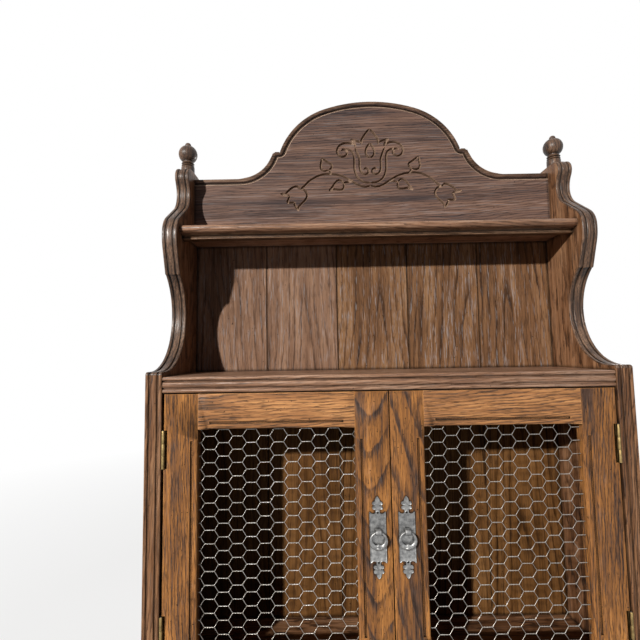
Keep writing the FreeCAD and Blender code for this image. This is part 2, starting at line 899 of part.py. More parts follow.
def hinge_leaf(name, start, first, plate_low, plate_high):
    """One leaf: a plate with every other knuckle, from the first."""
    count = int(number("knuckle_count"))
    pitch = f"hinge_length / {count}"
    plate = block(
        f"{name}_plate",
        (plate_low, "hinge_y + hinge_reach", start),
        (plate_high, "hinge_y + leaf_width", f"{start} + hinge_length"))
    pieces = [plate]
    for knuckle in range(first, count, 2):
        low = f"{start} + {knuckle} * {pitch} + knuckle_gap / 2"
        high = f"{start} + {knuckle + 1} * {pitch} - knuckle_gap / 2"
        pieces.append(rod(
            f"{name}_knuckle_{knuckle}", "z", "barrel_radius", f"({high}) - ({low})",
            ("hinge_x", "hinge_y", low)))
        pieces.append(block(
            f"{name}_web_{knuckle}",
            (plate_low, "hinge_y", low), (plate_high, "hinge_y + hinge_reach", high)))
    bore = rod(f"{name}_bore", "z", "bore_radius", "hinge_length", ("hinge_x", "hinge_y", start))
    return carve(name, fuse(f"{name}_joined", *pieces), bore)


def hinge_pin(name, start):
    return rod(name, "z", "pin_radius", "hinge_length", ("hinge_x", "hinge_y", start))


def hinges():
    places = {"upper": "upper_hinge", "lower": "lower_hinge"}
    keep_pair("case_hinge_leaves", group("case_leaves", *[
        hinge_leaf(f"{name}_case_leaf", start, 0, "-inner_half", "-inner_half + leaf_thick")
        for name, start in places.items()]))
    keep_pair("door_hinge_leaves", group("door_leaves", *[
        hinge_leaf(f"{name}_door_leaf", start, 1, "notch_x - leaf_thick", "notch_x")
        for name, start in places.items()]))
    pins = [hinge_pin(f"{name}_pin", start) for name, start in places.items()]
    keep_pair("hinge_pins", group("pins", *pins))


# Pulls

def plate_disc(name, across, up, radius):
    middle = (f"pull_x + {across}", "plate_front", f"pull_height + {up}")
    return rod(name, "y", radius, "plate_thick", middle)


def plate_leaf(name, sign):
    """The lobed leaf at one end of the plate, which sign turns up or down."""
    end = f"{sign} * (plate_length / 2"
    lobes = []
    for level in ("lower", "upper"):
        for side in (-1, 1):
            lobes.append(plate_disc(
                f"{name}_{level}_lobe_{side + 1}", f"{side} * lobe_spread",
                f"{end} + {level}_lobe_rise)", "leaf_lobe"))
    tip = doc.addObject("Part::MultiCommon", f"{name}_tip")
    tip.Shapes = [
        plate_disc(
            f"{name}_tip_{side + 1}", f"{side} * leaf_tip_spread",
            f"{end} + leaf_tip_rise)", "leaf_tip_radius")
        for side in (-1, 1)]
    ends = sorted(
        (f"pull_height + {end} - leaf_stem)", f"pull_height + {end} + leaf_stem_length)"), key=number)
    stem = block(
        f"{name}_stem",
        ("pull_x - leaf_stem", "plate_front", ends[0]),
        ("pull_x + leaf_stem", "door_front", ends[1]))
    return lobes + [tip, stem]


def pull_plates():
    """The iron back plate: scalloped ends, a pierced neck and a leaf at the top and the bottom."""
    bar = block(
        "plate_bar",
        ("pull_x - plate_width / 2", "plate_front", "pull_height - plate_length / 2"),
        ("pull_x + plate_width / 2", "door_front", "pull_height + plate_length / 2"))
    leaves = plate_leaf("upper_leaf", 1) + plate_leaf("lower_leaf", -1)
    scallops = []
    holes = []
    for name, sign in (("upper", 1), ("lower", -1)):
        for side in (-1, 1):
            scallops.append(plate_disc(
                f"{name}_scallop_{side + 1}", f"{side} * scallop_spread",
                f"{sign} * (plate_length / 2 + scallop_rise)", "plate_scallop"))
        holes.append(plate_disc(
            f"{name}_hole", "0", f"{sign} * (plate_length / 2 - plate_hole_inset)", "plate_hole"))
    scalloped = carve("plate_scalloped", bar, *scallops)
    keep_pair("pull_plate", carve("plate_pierced", fuse("plate_joined", scalloped, *leaves), *holes))


def pull_eyes():
    """The eye that stands on the plate and carries the ring."""
    start = "pull_x - eye_width / 2"
    disc = rod("eye_disc", "x", "eye_radius", "eye_width", (start, "eye_y", "eye_z"))
    foot = block(
        "eye_foot",
        (start, "eye_y", "eye_z - eye_radius"),
        ("pull_x + eye_width / 2", "plate_front", "eye_z + eye_radius"))
    hole = rod("eye_hole", "x", "eye_hole", "eye_width", (start, "eye_y", "eye_z"))
    keep_pair("pull_eye", carve("eye_drilled", fuse("eye_joined", disc, foot), hole))


def pull_rings():
    """The ring, which hangs in the eye: thin at the top, thick at the foot, with a bead there."""
    near = "eye_y - ring_thick / 2"
    hoop = rod("hoop", "y", "ring_radius", "ring_thick", ("pull_x", near, "ring_z"))
    bore = rod(
        "hoop_bore", "y", "ring_bore", "ring_thick",
        ("pull_x", near, "ring_z + (ring_foot - ring_top) / 2"))
    bead = rod(
        "hoop_bead", "y", "ring_bead", "ring_bead_thick",
        ("pull_x", "eye_y - ring_bead_thick / 2", "ring_z - ring_radius + ring_foot / 2"))
    keep_pair("pull_ring", fuse("hoop_joined", carve("hoop_open", hoop, bore), bead))


# Catches

def catches():
    """A magnetic catch under the deck and its strike plate on the back of the meeting stile."""
    low_x = "catch_x - catch_width / 2"
    high_x = "catch_x + catch_width / 2"
    strike_back = "door_back + strike_thick"
    keep_pair("catch", block(
        "catch_case",
        (low_x, f"{strike_back} + catch_gap", "deck_bottom - catch_height"),
        (high_x, f"{strike_back} + catch_gap + catch_depth", "deck_bottom")))
    keep_pair("catch_strike", block(
        "strike",
        (low_x, "door_back", "door_top - catch_height"), (high_x, strike_back, "door_top - door_gap")))


def write_parts():
    """Check every object and every sub-part, then write one file for each node."""
    doc.recompute()
    for item in doc.Objects:
        if "Invalid" in item.State or "Error" in item.State:
            raise RuntimeError(f"{item.Label} failed: {item.State}")
    for name, item in nodes.items():
        if item.Shape.isNull() or not item.Shape.isValid() or not item.Shape.Solids:
            raise RuntimeError(f"{name} has no valid solid")
    os.makedirs("parts", exist_ok=True)
    for name, item in nodes.items():
        item.Shape.exportStep(f"parts/{name}.step")


side_top = side_panels()
reeded_board("bottom_board", "0", "bottom_thick", BOTTOM_MIDDLE)
reeded_board("deck_shelf", "deck_bottom", "deck_thick", DECK_MIDDLE)
top_shelf()
cove_moulding()
back_planks()
crest_board()
hanging_rail()
finials(side_top)
door_frame()
keep("wire_net_left", wire_net("left"))
keep("wire_net_right", mirror(wire_net("right")))
net_stops()
hinges()
pull_plates()
pull_eyes()
pull_rings()
catches()
write_parts()
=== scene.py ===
from math import cos, pi, radians, sin

import bmesh
import bpy
from mathutils import Matrix, Vector

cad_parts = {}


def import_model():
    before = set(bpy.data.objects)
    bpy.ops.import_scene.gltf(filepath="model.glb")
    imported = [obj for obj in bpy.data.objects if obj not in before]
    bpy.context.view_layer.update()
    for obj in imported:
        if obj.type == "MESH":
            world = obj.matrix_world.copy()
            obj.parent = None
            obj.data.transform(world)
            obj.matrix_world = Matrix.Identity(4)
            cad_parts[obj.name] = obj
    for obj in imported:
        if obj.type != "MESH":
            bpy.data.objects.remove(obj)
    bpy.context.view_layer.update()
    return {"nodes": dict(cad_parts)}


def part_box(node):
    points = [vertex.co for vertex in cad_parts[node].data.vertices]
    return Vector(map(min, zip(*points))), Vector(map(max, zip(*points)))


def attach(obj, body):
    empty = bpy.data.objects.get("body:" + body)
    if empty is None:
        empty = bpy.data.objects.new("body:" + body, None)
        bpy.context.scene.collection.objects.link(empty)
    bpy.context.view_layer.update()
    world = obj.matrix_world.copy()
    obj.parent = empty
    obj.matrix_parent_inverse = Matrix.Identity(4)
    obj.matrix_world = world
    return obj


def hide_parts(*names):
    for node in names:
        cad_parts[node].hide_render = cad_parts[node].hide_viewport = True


# Wall display cabinet: dark oak case with a carved crest, turned finials and two wire-netting doors.
# Metres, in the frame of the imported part: +X right, +Y towards the wall, +Z up.

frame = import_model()
NODES = frame["nodes"]
SIDES = (("left", -1), ("right", 1))
MM = 0.001
WHITE = (1.0, 1.0, 1.0)
# Points closer than this are one point, and faces that differ by less than this angle are one face
SAME_POINT = 1e-5
SAME_FACE = radians(0.5)


def middle_of(node):
    low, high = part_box(node)
    return (low + high) / 2


# Node trees

class Tree:
    """The node tree of a material or a world, with short calls for the nodes that are used here."""

    def __init__(self, owner):
        owner.use_nodes = True
        self.owner = owner
        self.nodes = owner.node_tree.nodes
        self.links = owner.node_tree.links

    def add(self, kind, inputs=None, **settings):
        node = self.nodes.new(f"ShaderNode{kind}")
        for key, value in settings.items():
            setattr(node, key, value)
        for key, value in (inputs or {}).items():
            self.feed(node.inputs[key], value)
        return node

    def feed(self, socket, value):
        """Link a socket, or set it to a number, a vector or a colour."""
        if isinstance(value, bpy.types.NodeSocket):
            self.links.new(value, socket)
        elif socket.type == "RGBA":
            socket.default_value = (*value, 1)
        else:
            socket.default_value = value

    def surface(self, inputs):
        """Set or link inputs of a material's main shader."""
        for key, value in inputs.items():
            self.feed(self.nodes["Principled BSDF"].inputs[key], value)

    def object_place(self):
        return self.add("TexCoord").outputs["Object"]

    def math(self, operation, first, second=0.0, third=0.0):
        return self.add("Math", {0: first, 1: second, 2: third}, operation=operation).outputs[0]

    def ramp(self, value, *stops):
        """A colour ramp; each stop is a place and a grey level or colour."""
        node = self.add("ValToRGB", {"Fac": value})
        elements = node.color_ramp.elements
        while len(elements) < len(stops):
            elements.new(0.5)
        for element, (place, level) in zip(elements, stops):
            element.position = place
            element.color = (level, level, level, 1) if isinstance(level, (int, float)) else (*level, 1)
        return node.outputs["Color"]

    def rise(self, value, start, end, least=0.0):
        """The least level up to a start, and 1 from an end on."""
        return self.ramp(value, (start, least), (end, 1.0))

    def fall(self, value, start, end):
        """1 up to a start, and 0 from an end on."""
        return self.ramp(value, (start, 1.0), (end, 0.0))

    def mix(self, share, first, second):
        return self.add("Mix", {0: share, 6: first, 7: second}, data_type="RGBA").outputs[2]

    def noise(self, vector, scale, shift=(0, 0, 0), detail=2.0, roughness=0.5):
        """Noise over a vector that is stretched by a scale along each axis."""
        stretch = self.add("VectorMath", {0: vector, 1: scale, 2: shift}, operation="MULTIPLY_ADD")
        inputs = {"Vector": stretch.outputs[0], "Scale": 1.0, "Detail": detail, "Roughness": roughness}
        return self.add("TexNoise", inputs).outputs["Fac"]

    def hollow(self, distance, inside=False):
        """How open a surface is: low in recesses, or low at arrises when looking inside."""
        node = self.add("AmbientOcclusion", {"Distance": distance}, inside=inside, samples=6)
        return node.outputs["AO"]

    def bump(self, height, strength, distance):
        node = self.add("Bump", {"Height": height, "Strength": strength, "Distance": distance})
        self.surface({"Normal": node.outputs["Normal"]})

    def seen(self):
        """1 for rays of the camera, of reflections and of transmission, 0 for the light on the object."""
        path = self.add("LightPath")
        direct = self.math("MAXIMUM", path.outputs["Is Camera Ray"], path.outputs["Is Glossy Ray"])
        return self.math("MAXIMUM", direct, path.outputs["Is Transmission Ray"])


# Oak

# Which axes of an object lie across, into and along the grain
GRAIN_ORDER = {"x": ("Z", "Y", "X"), "z": ("X", "Y", "Z")}
# How far the noises of one seed lie from those of the next
SEED_STEPS = (3.17, 1.71, 2.39)
# Noises of the grain: scale across it and along it, detail, roughness, whether they draw out with the
# stain's length of grain, and whether they are laid out apart from the others
GRAIN_NOISE = {
    "sway": (7, 1.6, 2.0, 0.5, False, False),
    "waver": (60, 12, 4.0, 0.6, False, False),
    "cloud": (13, 4, 2.0, 0.5, False, True),
    "bold": (45, 8, 3.0, 0.5, True, False),
    "fibre": (300, 20, 5.0, 0.7, True, False),
    "streak": (52, 4, 4.0, 0.6, True, False),
    "vessel": (560, 55, 2.0, 0.6, True, False),
    "fleck": (430, 48, 2.0, 0.6, True, True),
}
SPECK_SCALE = (210, 210, 210)
WEAR_AND_HIGHLIGHT_SCALE = (38, 38, 38)

# Year rings: their spacing, the heart's depth behind the face and its lean along the board, how far they
# sway and waver from smooth cones, and the tone of one year from early to late wood
RING_SPACING = 0.0062
HEART_DEPTH = 0.010
HEART_LEAN = 0.06
SWAY = 0.060
WAVER = 0.014
RING_PROFILE = ((0.0, 0.0), (0.08, 0.15), (0.28, 0.80), (0.55, 1.0), (0.93, 0.92), (1.0, 0.0))
# A metre added to each ring's radius, so that the count of rings stays above zero
RING_OFFSET = 1.0

# Level of tone: its middle, the ring tone that leaves it there, and the weights of streaks and clouds
MIDDLE_TONE = 0.51
RING_MIDDLE = 0.7
STREAK_WEIGHT = 1.2
CLOUD_WEIGHT = 0.7
# Levels at which the four tones of a stain lie
TONE_STOPS = (0.06, 0.28, 0.50, 0.88)

# How much more open the pores of early wood are, and how strongly pores, specks and pale arrises show
# (partly rubbed wear, partly a painted highlight)
EARLY_PORES = 0.10
PORE_SHARE = 0.60
SPECK_SHARE = 0.8
WEAR_AND_HIGHLIGHT_SHARE = 0.85
# How far dark wax and painted shade reach into a recess, and how wide an arris is made pale by wear and a
# painted highlight
RECESS_REACH = 0.008
ARRIS_REACH = 0.0030
# Roughness from the fibres to the pores, and how far the pores add to it
OAK_GLOSS = ((0.3, 0.28), (1.0, 0.50))
PORE_ROUGHNESS = 0.6
# Height of the pores and of the year rings against that of the fibres
PORE_RELIEF = -1.0
RING_RELIEF = 0.3

# Four tones of each stain, from the pores to the palest late wood
STAINS = {
    # Greyish dark tone, partly the wood's own and partly painted sheen
    "crest": ((0.018, 0.013, 0.012), (0.056, 0.043, 0.044), (0.142, 0.087, 0.070), (0.290, 0.172, 0.124)),
    # Darker tones, painted shade on the crest's rounded bead
    "bead": ((0.010, 0.006, 0.004), (0.036, 0.020, 0.013), (0.100, 0.057, 0.037), (0.260, 0.160, 0.108)),
    # Pale tones that paint a highlight on the rounded lip beside the quirk
    "lip": ((0.100, 0.066, 0.050), (0.240, 0.164, 0.122), (0.420, 0.290, 0.210), (0.600, 0.430, 0.320)),
    # Paler tones for the gouged walls, partly raw worn wood and partly a painted highlight
    "cut": ((0.040, 0.025, 0.018), (0.120, 0.078, 0.056), (0.300, 0.192, 0.134), (0.600, 0.410, 0.290)),
    # Greyer tones for the two left planks, partly the boards' own and partly painted sheen
    "plank": ((0.034, 0.020, 0.015), (0.108, 0.061, 0.040), (0.220, 0.123, 0.078), (0.400, 0.250, 0.165)),
    "warm_plank": (
        (0.028, 0.016, 0.011), (0.090, 0.046, 0.025), (0.188, 0.094, 0.046), (0.350, 0.200, 0.105)),
    # A darker, more orange tone for the wood inside the cupboard, painted shade
    "inner": ((0.018, 0.008, 0.003), (0.060, 0.026, 0.008), (0.132, 0.059, 0.019), (0.240, 0.118, 0.044)),
    "case": ((0.020, 0.010, 0.006), (0.074, 0.033, 0.016), (0.200, 0.092, 0.042), (0.430, 0.235, 0.125)),
    # Paler tones, partly the wood's own and partly painted sheen on the deck's edge and the top shelf's
    # nose
    "shelf": ((0.040, 0.020, 0.011), (0.140, 0.070, 0.039), (0.315, 0.165, 0.096), (0.580, 0.385, 0.275)),
    # Darker tones, painted shade on the scrolled edges above the deck; the finials share them
    "scroll": ((0.010, 0.006, 0.004), (0.036, 0.019, 0.011), (0.098, 0.050, 0.027), (0.270, 0.160, 0.100)),
    # Darkened tones for the cove moulding under the top shelf, painted shade
    "shaded_cove": (
        (0.012, 0.007, 0.004), (0.042, 0.021, 0.011), (0.118, 0.060, 0.031), (0.300, 0.180, 0.110)),
    "door": ((0.030, 0.020, 0.016), (0.104, 0.058, 0.040), (0.268, 0.115, 0.040), (0.560, 0.245, 0.072)),
    "rail": ((0.045, 0.027, 0.018), (0.166, 0.090, 0.053), (0.362, 0.163, 0.067), (0.670, 0.330, 0.132)),
}
# For each stain: strength of the figure, length of the grain, shine, pale filler in the pores, dark wax
# and painted shade in the recesses, and the weights of the fine fibres and of the year rings
FIGURE = {
    "crest": (0.75, 3.5, 0.06, 0.32, 0.80, 0.85, 0.36),
    "bead": (0.70, 2.0, 0.12, 0.00, 1.00, 1.60, 0.36),
    "lip": (0.50, 1.0, 0.10, 0.00, 0.00, 1.60, 0.36),
    "cut": (0.50, 1.0, 0.04, 0.00, 0.50, 1.60, 0.36),
    "plank": (0.68, 1.6, 0.03, 0.45, 0.80, 0.75, 0.40),
    "warm_plank": (0.78, 1.6, 0.03, 0.60, 0.80, 0.75, 0.48),
    "inner": (0.90, 1.0, 0.03, 0.10, 0.80, 1.60, 0.36),
    "case": (0.90, 2.2, 0.16, 0.12, 0.70, 1.20, 0.45),
    "shelf": (0.70, 1.5, 0.25, 0.20, 0.45, 1.20, 0.45),
    "scroll": (0.90, 1.6, 0.38, 0.00, 0.80, 1.20, 0.45),
    "shaded_cove": (0.70, 0.6, 0.16, 0.00, 1.00, 1.60, 0.36),
    "door": (1.05, 1.2, 0.10, 0.12, 0.95, 1.05, 0.32),
    "rail": (1.00, 1.6, 0.10, 0.08, 0.95, 1.05, 0.48),
}
FILLER = (0.34, 0.31, 0.31)
# Near-black of the dark specks, and of the dark wax and painted shade in the recesses
WAX_AND_SHADE_TONE = (0.008, 0.005, 0.003)


class Board(Tree):
    """The tree of a wood, with the places across, into and along the grain of its board."""

    def __init__(self, name, axis, seed, reach):
        super().__init__(bpy.data.materials.new(name))
        self.place = self.object_place()
        split = self.add("SeparateXYZ", {0: self.place})
        self.across, self.depth, self.along = (split.outputs[letter] for letter in GRAIN_ORDER[axis])
        self.grain = self.add("CombineXYZ", {0: self.across, 1: self.depth, 2: self.along}).outputs[0]
        self.shift = tuple(seed * step for step in SEED_STEPS)
        self.reach = reach

    def figure(self, kind):
        """One of the noises of the grain."""
        across, along, detail, roughness, drawn_out, apart = GRAIN_NOISE[kind]
        scale = (across, across, along / self.reach if drawn_out else along)
        shift = self.shift[::-1] if apart else self.shift
        return self.noise(self.grain, scale, shift, detail, roughness)

    def year_rings(self, heart, lean, spacing):
        """Cones about the heart, which the board cuts into arches: 0 in early wood, 1 in late wood."""
        sway = self.math("MULTIPLY_ADD", self.figure("sway"), SWAY, -SWAY / 2)
        waver = self.math("MULTIPLY_ADD", self.figure("waver"), WAVER, -WAVER / 2)
        from_heart = self.math("SUBTRACT", self.across, heart)
        from_heart = self.math("ADD", from_heart, self.math("ADD", sway, waver))
        radius = self.math("SQRT", self.math("MULTIPLY_ADD", from_heart, from_heart, HEART_DEPTH ** 2))
        cone = self.math("MULTIPLY_ADD", self.along, lean, self.math("ADD", radius, RING_OFFSET))
        return self.ramp(self.math("FRACT", self.math("DIVIDE", cone, spacing)), *RING_PROFILE)


def oak(name, axis, seed, stain, heart, lean=HEART_LEAN, spacing=RING_SPACING, shaded_inside=None):
    """Dark waxed oak whose grain runs along an axis, with its heart at a place across the board."""
    pore_tone, _, _, pale = STAINS[stain]
    contrast, reach, shine, filled, wax_and_shade, fine, lines = FIGURE[stain]
    tree = Board(name, axis, seed, reach)

    # Year rings, fibres, streaks and clouds
    ring = tree.year_rings(heart, lean, spacing)
    bold = tree.rise(tree.figure("bold"), 0.38, 0.60, least=0.15)
    fibre = tree.figure("fibre")
    streak = tree.figure("streak")
    cloud = tree.figure("cloud")
    line = tree.math("MULTIPLY", tree.math("SUBTRACT", ring, RING_MIDDLE), bold)
    level = tree.math("MULTIPLY_ADD", line, lines * contrast, MIDDLE_TONE)
    for figure, weight in ((fibre, fine), (streak, STREAK_WEIGHT), (cloud, CLOUD_WEIGHT)):
        level = tree.math("MULTIPLY_ADD", tree.math("SUBTRACT", figure, 0.5), weight * contrast, level)
    body = tree.ramp(level, *zip(TONE_STOPS, STAINS[stain]))
    # Inside the cupboard the board takes the darker inner stain, painted shade, and no pale filler
    if shaded_inside:
        height, rear = shaded_inside
        below = tree.math("LESS_THAN", tree.along, height)
        inside = tree.math("MULTIPLY", below, tree.math("LESS_THAN", tree.depth, rear))
        body = tree.mix(inside, body, tree.ramp(level, *zip(TONE_STOPS, STAINS["inner"])))
        filled = tree.math("MULTIPLY_ADD", inside, -filled, filled)

    # Open pores in the early wood, the filler in some of them, and dark specks
    early = tree.math("MULTIPLY_ADD", ring, -EARLY_PORES, EARLY_PORES)
    pores = tree.rise(tree.math("ADD", tree.figure("vessel"), early), 0.54, 0.62)
    fleck = tree.rise(tree.figure("fleck"), 0.54, 0.64)
    bundle = tree.math("MAXIMUM", tree.rise(streak, 0.42, 0.60), tree.math("SUBTRACT", 1.0, ring))
    speck = tree.rise(tree.noise(tree.place, SPECK_SCALE, tree.shift, 1.0), 0.745, 0.770)
    body = tree.mix(tree.math("MULTIPLY", pores, PORE_SHARE * contrast), body, pore_tone)
    body = tree.mix(tree.math("MULTIPLY", tree.math("MULTIPLY", fleck, bundle), filled), body, FILLER)
    body = tree.mix(tree.math("MULTIPLY", speck, SPECK_SHARE), body, WAX_AND_SHADE_TONE)

    # Dark wax and painted shade in the recesses, and arrises made pale by wear and by a painted highlight
    recess = tree.fall(tree.hollow(RECESS_REACH), 0.60, 0.95)
    body = tree.mix(tree.math("MULTIPLY", recess, wax_and_shade), body, WAX_AND_SHADE_TONE)
    # Arrises turn pale: partly rubbed wear, partly a painted highlight
    worn_and_highlit_arris = tree.fall(tree.hollow(ARRIS_REACH, inside=True), 0.40, 0.85)
    wear_and_highlight_patches = tree.rise(tree.noise(tree.place, WEAR_AND_HIGHLIGHT_SCALE, tree.shift, 3.0), 0.30, 0.60, least=0.15)
    body = tree.mix(tree.math("MULTIPLY", tree.math("MULTIPLY", worn_and_highlit_arris, wear_and_highlight_patches), WEAR_AND_HIGHLIGHT_SHARE), body, pale)

    gloss = tree.ramp(tree.math("MULTIPLY_ADD", pores, PORE_ROUGHNESS, fibre), *OAK_GLOSS)
    tree.surface({"Base Color": body, "Specular IOR Level": shine, "Roughness": gloss})
    relief = tree.math("MULTIPLY_ADD", ring, RING_RELIEF, fibre)
    relief = tree.math("MULTIPLY_ADD", pores, PORE_RELIEF, relief)
    tree.bump(relief, strength=0.30, distance=0.0005)
    return tree.owner


# Metals and plastic

# Grains of grit to one patch of tarnish, and the tone of a recess against the dull tone
GRIT_TO_PATCH = 9
RECESS_TONE = 0.30
# How far the grit takes the roughness down and up
SMOOTHER = 0.1
ROUGHER = 0.12


def metal(name, bright, dull, rough, patches, metallic=1.0, recess=0.004):
    """A metal with tarnish in patches, so many to the metre, and in its recesses."""
    tree = Tree(bpy.data.materials.new(name))
    place = tree.object_place()
    patch = tree.rise(tree.noise(place, (patches,) * 3, detail=4.0, roughness=0.6), 0.35, 0.70)
    grit = tree.noise(place, (patches * GRIT_TO_PATCH,) * 3)
    open_share = tree.rise(tree.hollow(recess), 0.35, 0.85)
    body = tree.mix(patch, dull, bright)
    body = tree.mix(open_share, [RECESS_TONE * level for level in dull], body)
    gloss = tree.ramp(grit, (0.3, rough - SMOOTHER), (0.7, rough + ROUGHER))
    tree.surface({"Base Color": body, "Metallic": metallic, "Roughness": gloss})
    tree.bump(grit, strength=0.25, distance=0.0002)
    return tree.owner


PLASTIC_GRAIN = (1400, 1400, 1400)
PLASTIC_TONES = (0.8, 1.2)


def plastic(name, tone):
    """A moulded plastic with a fine grain."""
    tree = Tree(bpy.data.materials.new(name))
    grain = tree.noise(tree.object_place(), PLASTIC_GRAIN)
    dark, pale = ([share * level for level in tone] for share in PLASTIC_TONES)
    tree.surface({"Base Color": tree.mix(grain, dark, pale), "Roughness": 0.5})
    tree.bump(grain, strength=0.2, distance=0.0001)
    return tree.owner


FINISH = {
    "iron": metal("pewter_iron", (0.42, 0.42, 0.41), (0.170, 0.170, 0.172), 0.42, 160, metallic=0.85),
    "nail": metal("black_iron", (0.09, 0.085, 0.08), (0.035, 0.033, 0.03), 0.5, 200, metallic=0.8),
    "brass": metal("dull_brass", (0.50, 0.36, 0.15), (0.24, 0.165, 0.07), 0.36, 120),
    "steel": metal("plain_steel", (0.56, 0.56, 0.56), (0.36, 0.36, 0.37), 0.32, 90),
    "wire": metal(
        "galvanised_wire", (0.60, 0.57, 0.53), (0.36, 0.33, 0.29), 0.36, 70, metallic=0.85, recess=0.001),
    "plastic": plastic("brown_plastic", (0.055, 0.034, 0.024)),
}


def dress(item, material):
    item.data.materials.clear()
    item.data.materials.append(material)


# CAD nodes that are shown as they are, with eased arrises

ARRIS_ANGLE = radians(35)


def ease(item, width, segments):
    """Round the arrises of a CAD node by modifiers."""
    weld = item.modifiers.new("weld", "WELD")
    weld.merge_threshold = SAME_POINT
    flatten = item.modifiers.new("flatten", "DECIMATE")
    flatten.decimate_type = "DISSOLVE"
    flatten.angle_limit = SAME_FACE
    rounding = item.modifiers.new("rounding", "BEVEL")
    rounding.width = width
    rounding.segments = segments
    rounding.limit_method = "ANGLE"
    rounding.angle_limit = ARRIS_ANGLE
    rounding.harden_normals = True


CREST_HEART = 1.34
SCROLL_HEART = 0.40
# Node, way of the grain, stain, place of the heart across the board, easing of the arrises in millimetres
CASE_WOOD = (
    ("bottom_board", "x", "case", 0.20, 1.2),
    # The deck and the top shelf take the paler shelf stain, partly painted sheen
    ("deck_shelf", "x", "shelf", 0.75, 1.2),
    ("top_shelf", "x", "shelf", 0.70, 1.2),
    # The cove moulding takes a darkened stain, painted shade
    ("cove_moulding", "x", "shaded_cove", 0.70, 0.5),
    ("hanging_rail", "x", "inner", 0.48, 1.2),
    ("crest_board", "x", "crest", CREST_HEART, 0),
    ("side_panel_left", "z", "case", -0.40, 0),
    ("side_panel_right", "z", "case", 0.47, 0),
    ("finials", "z", "scroll", SCROLL_HEART, 0),
    # The two left planks take the greyer plank stain, partly painted sheen
    ("back_plank_1", "z", "plank", -0.40, 0.6),
    ("back_plank_2", "z", "plank", -0.16, 0.6),
    ("back_plank_3", "z", "warm_plank", 0.01, 0.6),
    ("back_plank_4", "z", "warm_plank", 0.23, 0.6),
    ("back_plank_5", "z", "warm_plank", 0.33, 0.6),
)
# Door pieces: stem, way of the grain, stain, and on each side the heart's place, then its lean and the
# spacing of the rings where these differ from the usual
DOOR_WOOD = (
    ("hinge_stile", "z", "door", {"left": (-0.45,), "right": (0.45,)}),
    ("meeting_stile", "z", "door", {"left": (-0.036, -0.45, 0.030), "right": (-0.20, 0.30, 0.034)}),
    ("top_rail", "x", "rail", {"left": (0.60,), "right": (0.48, -0.07)}),
    ("bottom_rail", "x", "rail", {"left": (0.03,), "right": (0.11,)}),
    ("net_stops", "z", "door", {"left": (-0.50,), "right": (0.50,)}),
)
# Seeds of the grain: the case counts up from its first, the doors from theirs, the rest have their own
CASE_SEED = 1
DOOR_SEED = 31
SCROLL_SEED = 25
CREST_SEEDS = {"bead": 21, "lip": 22, "cut": 23}
PLANK_SPACING = 0.016
STOP_EASING = 0.8 * MM
WOOD_SEGMENTS = 2
# The planks' faces inside the cupboard lie below the deck's middle and in front of this depth, and take
# the inner stain as painted shade
DECK_MIDDLE = middle_of("deck_shelf").z
SHADE_REAR = 0.110
WOOD = {}


def dress_wood():
    for order, (node, axis, stain, heart, rounding) in enumerate(CASE_WOOD):
        changes = {}
        if node.startswith("back_plank"):
            changes = {"spacing": PLANK_SPACING, "shaded_inside": (DECK_MIDDLE, SHADE_REAR)}
        WOOD[node] = oak(f"oak_{node}", axis, CASE_SEED + order, stain, heart, **changes)
        dress(NODES[node], WOOD[node])
        if rounding:
            ease(NODES[node], rounding * MM, WOOD_SEGMENTS)
    for side, sign in SIDES:
        for order, (stem, axis, stain, figure) in enumerate(DOOR_WOOD):
            node = f"{stem}_{side}"
            WOOD[node] = oak(f"oak_{node}", axis, DOOR_SEED + 2 * order + sign, stain, *figure[side])
            dress(NODES[node], WOOD[node])
        ease(NODES[f"net_stops_{side}"], STOP_EASING, WOOD_SEGMENTS)
    WOOD["scroll"] = oak("oak_scroll", "z", SCROLL_SEED, "scroll", SCROLL_HEART)
    for stain, seed in CREST_SEEDS.items():
        WOOD[f"crest_{stain}"] = oak(f"oak_crest_{stain}", "x", seed, stain, CREST_HEART)


FITTING_SEGMENTS = 3
# Stem, finish, easing of the arrises in millimetres
FITTINGS = (
    ("pull_plate", "iron", 0),
    ("pull_eye", "iron", 1.1),
    ("pull_ring", "iron", 0),
    ("wire_net", "wire", 0),
    ("case_hinge_leaves", "brass", 0.2),
    ("door_hinge_leaves", "brass", 0.2),
    ("hinge_pins", "steel", 0.2),
    ("catch_strike", "steel", 0.2),
    ("catch", "plastic", 0.8),
)


def dress_fittings():
    for side, _ in SIDES:
        for stem, finish, rounding in FITTINGS:
            item = NODES[f"{stem}_{side}"]
            dress(item, FINISH[finish])
            if rounding:
                ease(item, rounding * MM, FITTING_SEGMENTS)


# Shapes

def welded(node):
    """The mesh of a CAD node with its faces joined, to shape further."""
    shape = bmesh.new()
    shape.from_mesh(NODES[node].data)
    bmesh.ops.remove_doubles(shape, verts=shape.verts, dist=SAME_POINT)
    return shape


def flat_faced(node):
    """The joined mesh of a CAD node, with one face for each flat stretch."""
    shape = welded(node)
    bmesh.ops.dissolve_limit(shape, angle_limit=SAME_FACE, verts=shape.verts, edges=shape.edges)
    return shape


def is_arris(edge, least, most=pi):
    """Whether an edge is convex and turns by an angle in a range."""
    return len(edge.link_faces) == 2 and edge.is_convex and least < edge.calc_face_angle() < most


def bevel(shape, edges, width, segments, clamp=True):
    """Round edges of a shape, and give back the new faces."""
    made = bmesh.ops.bevel(
        shape, geom=edges, offset=width, segments=segments, profile=0.5, affect="EDGES",
        clamp_overlap=clamp)
    return made["faces"]


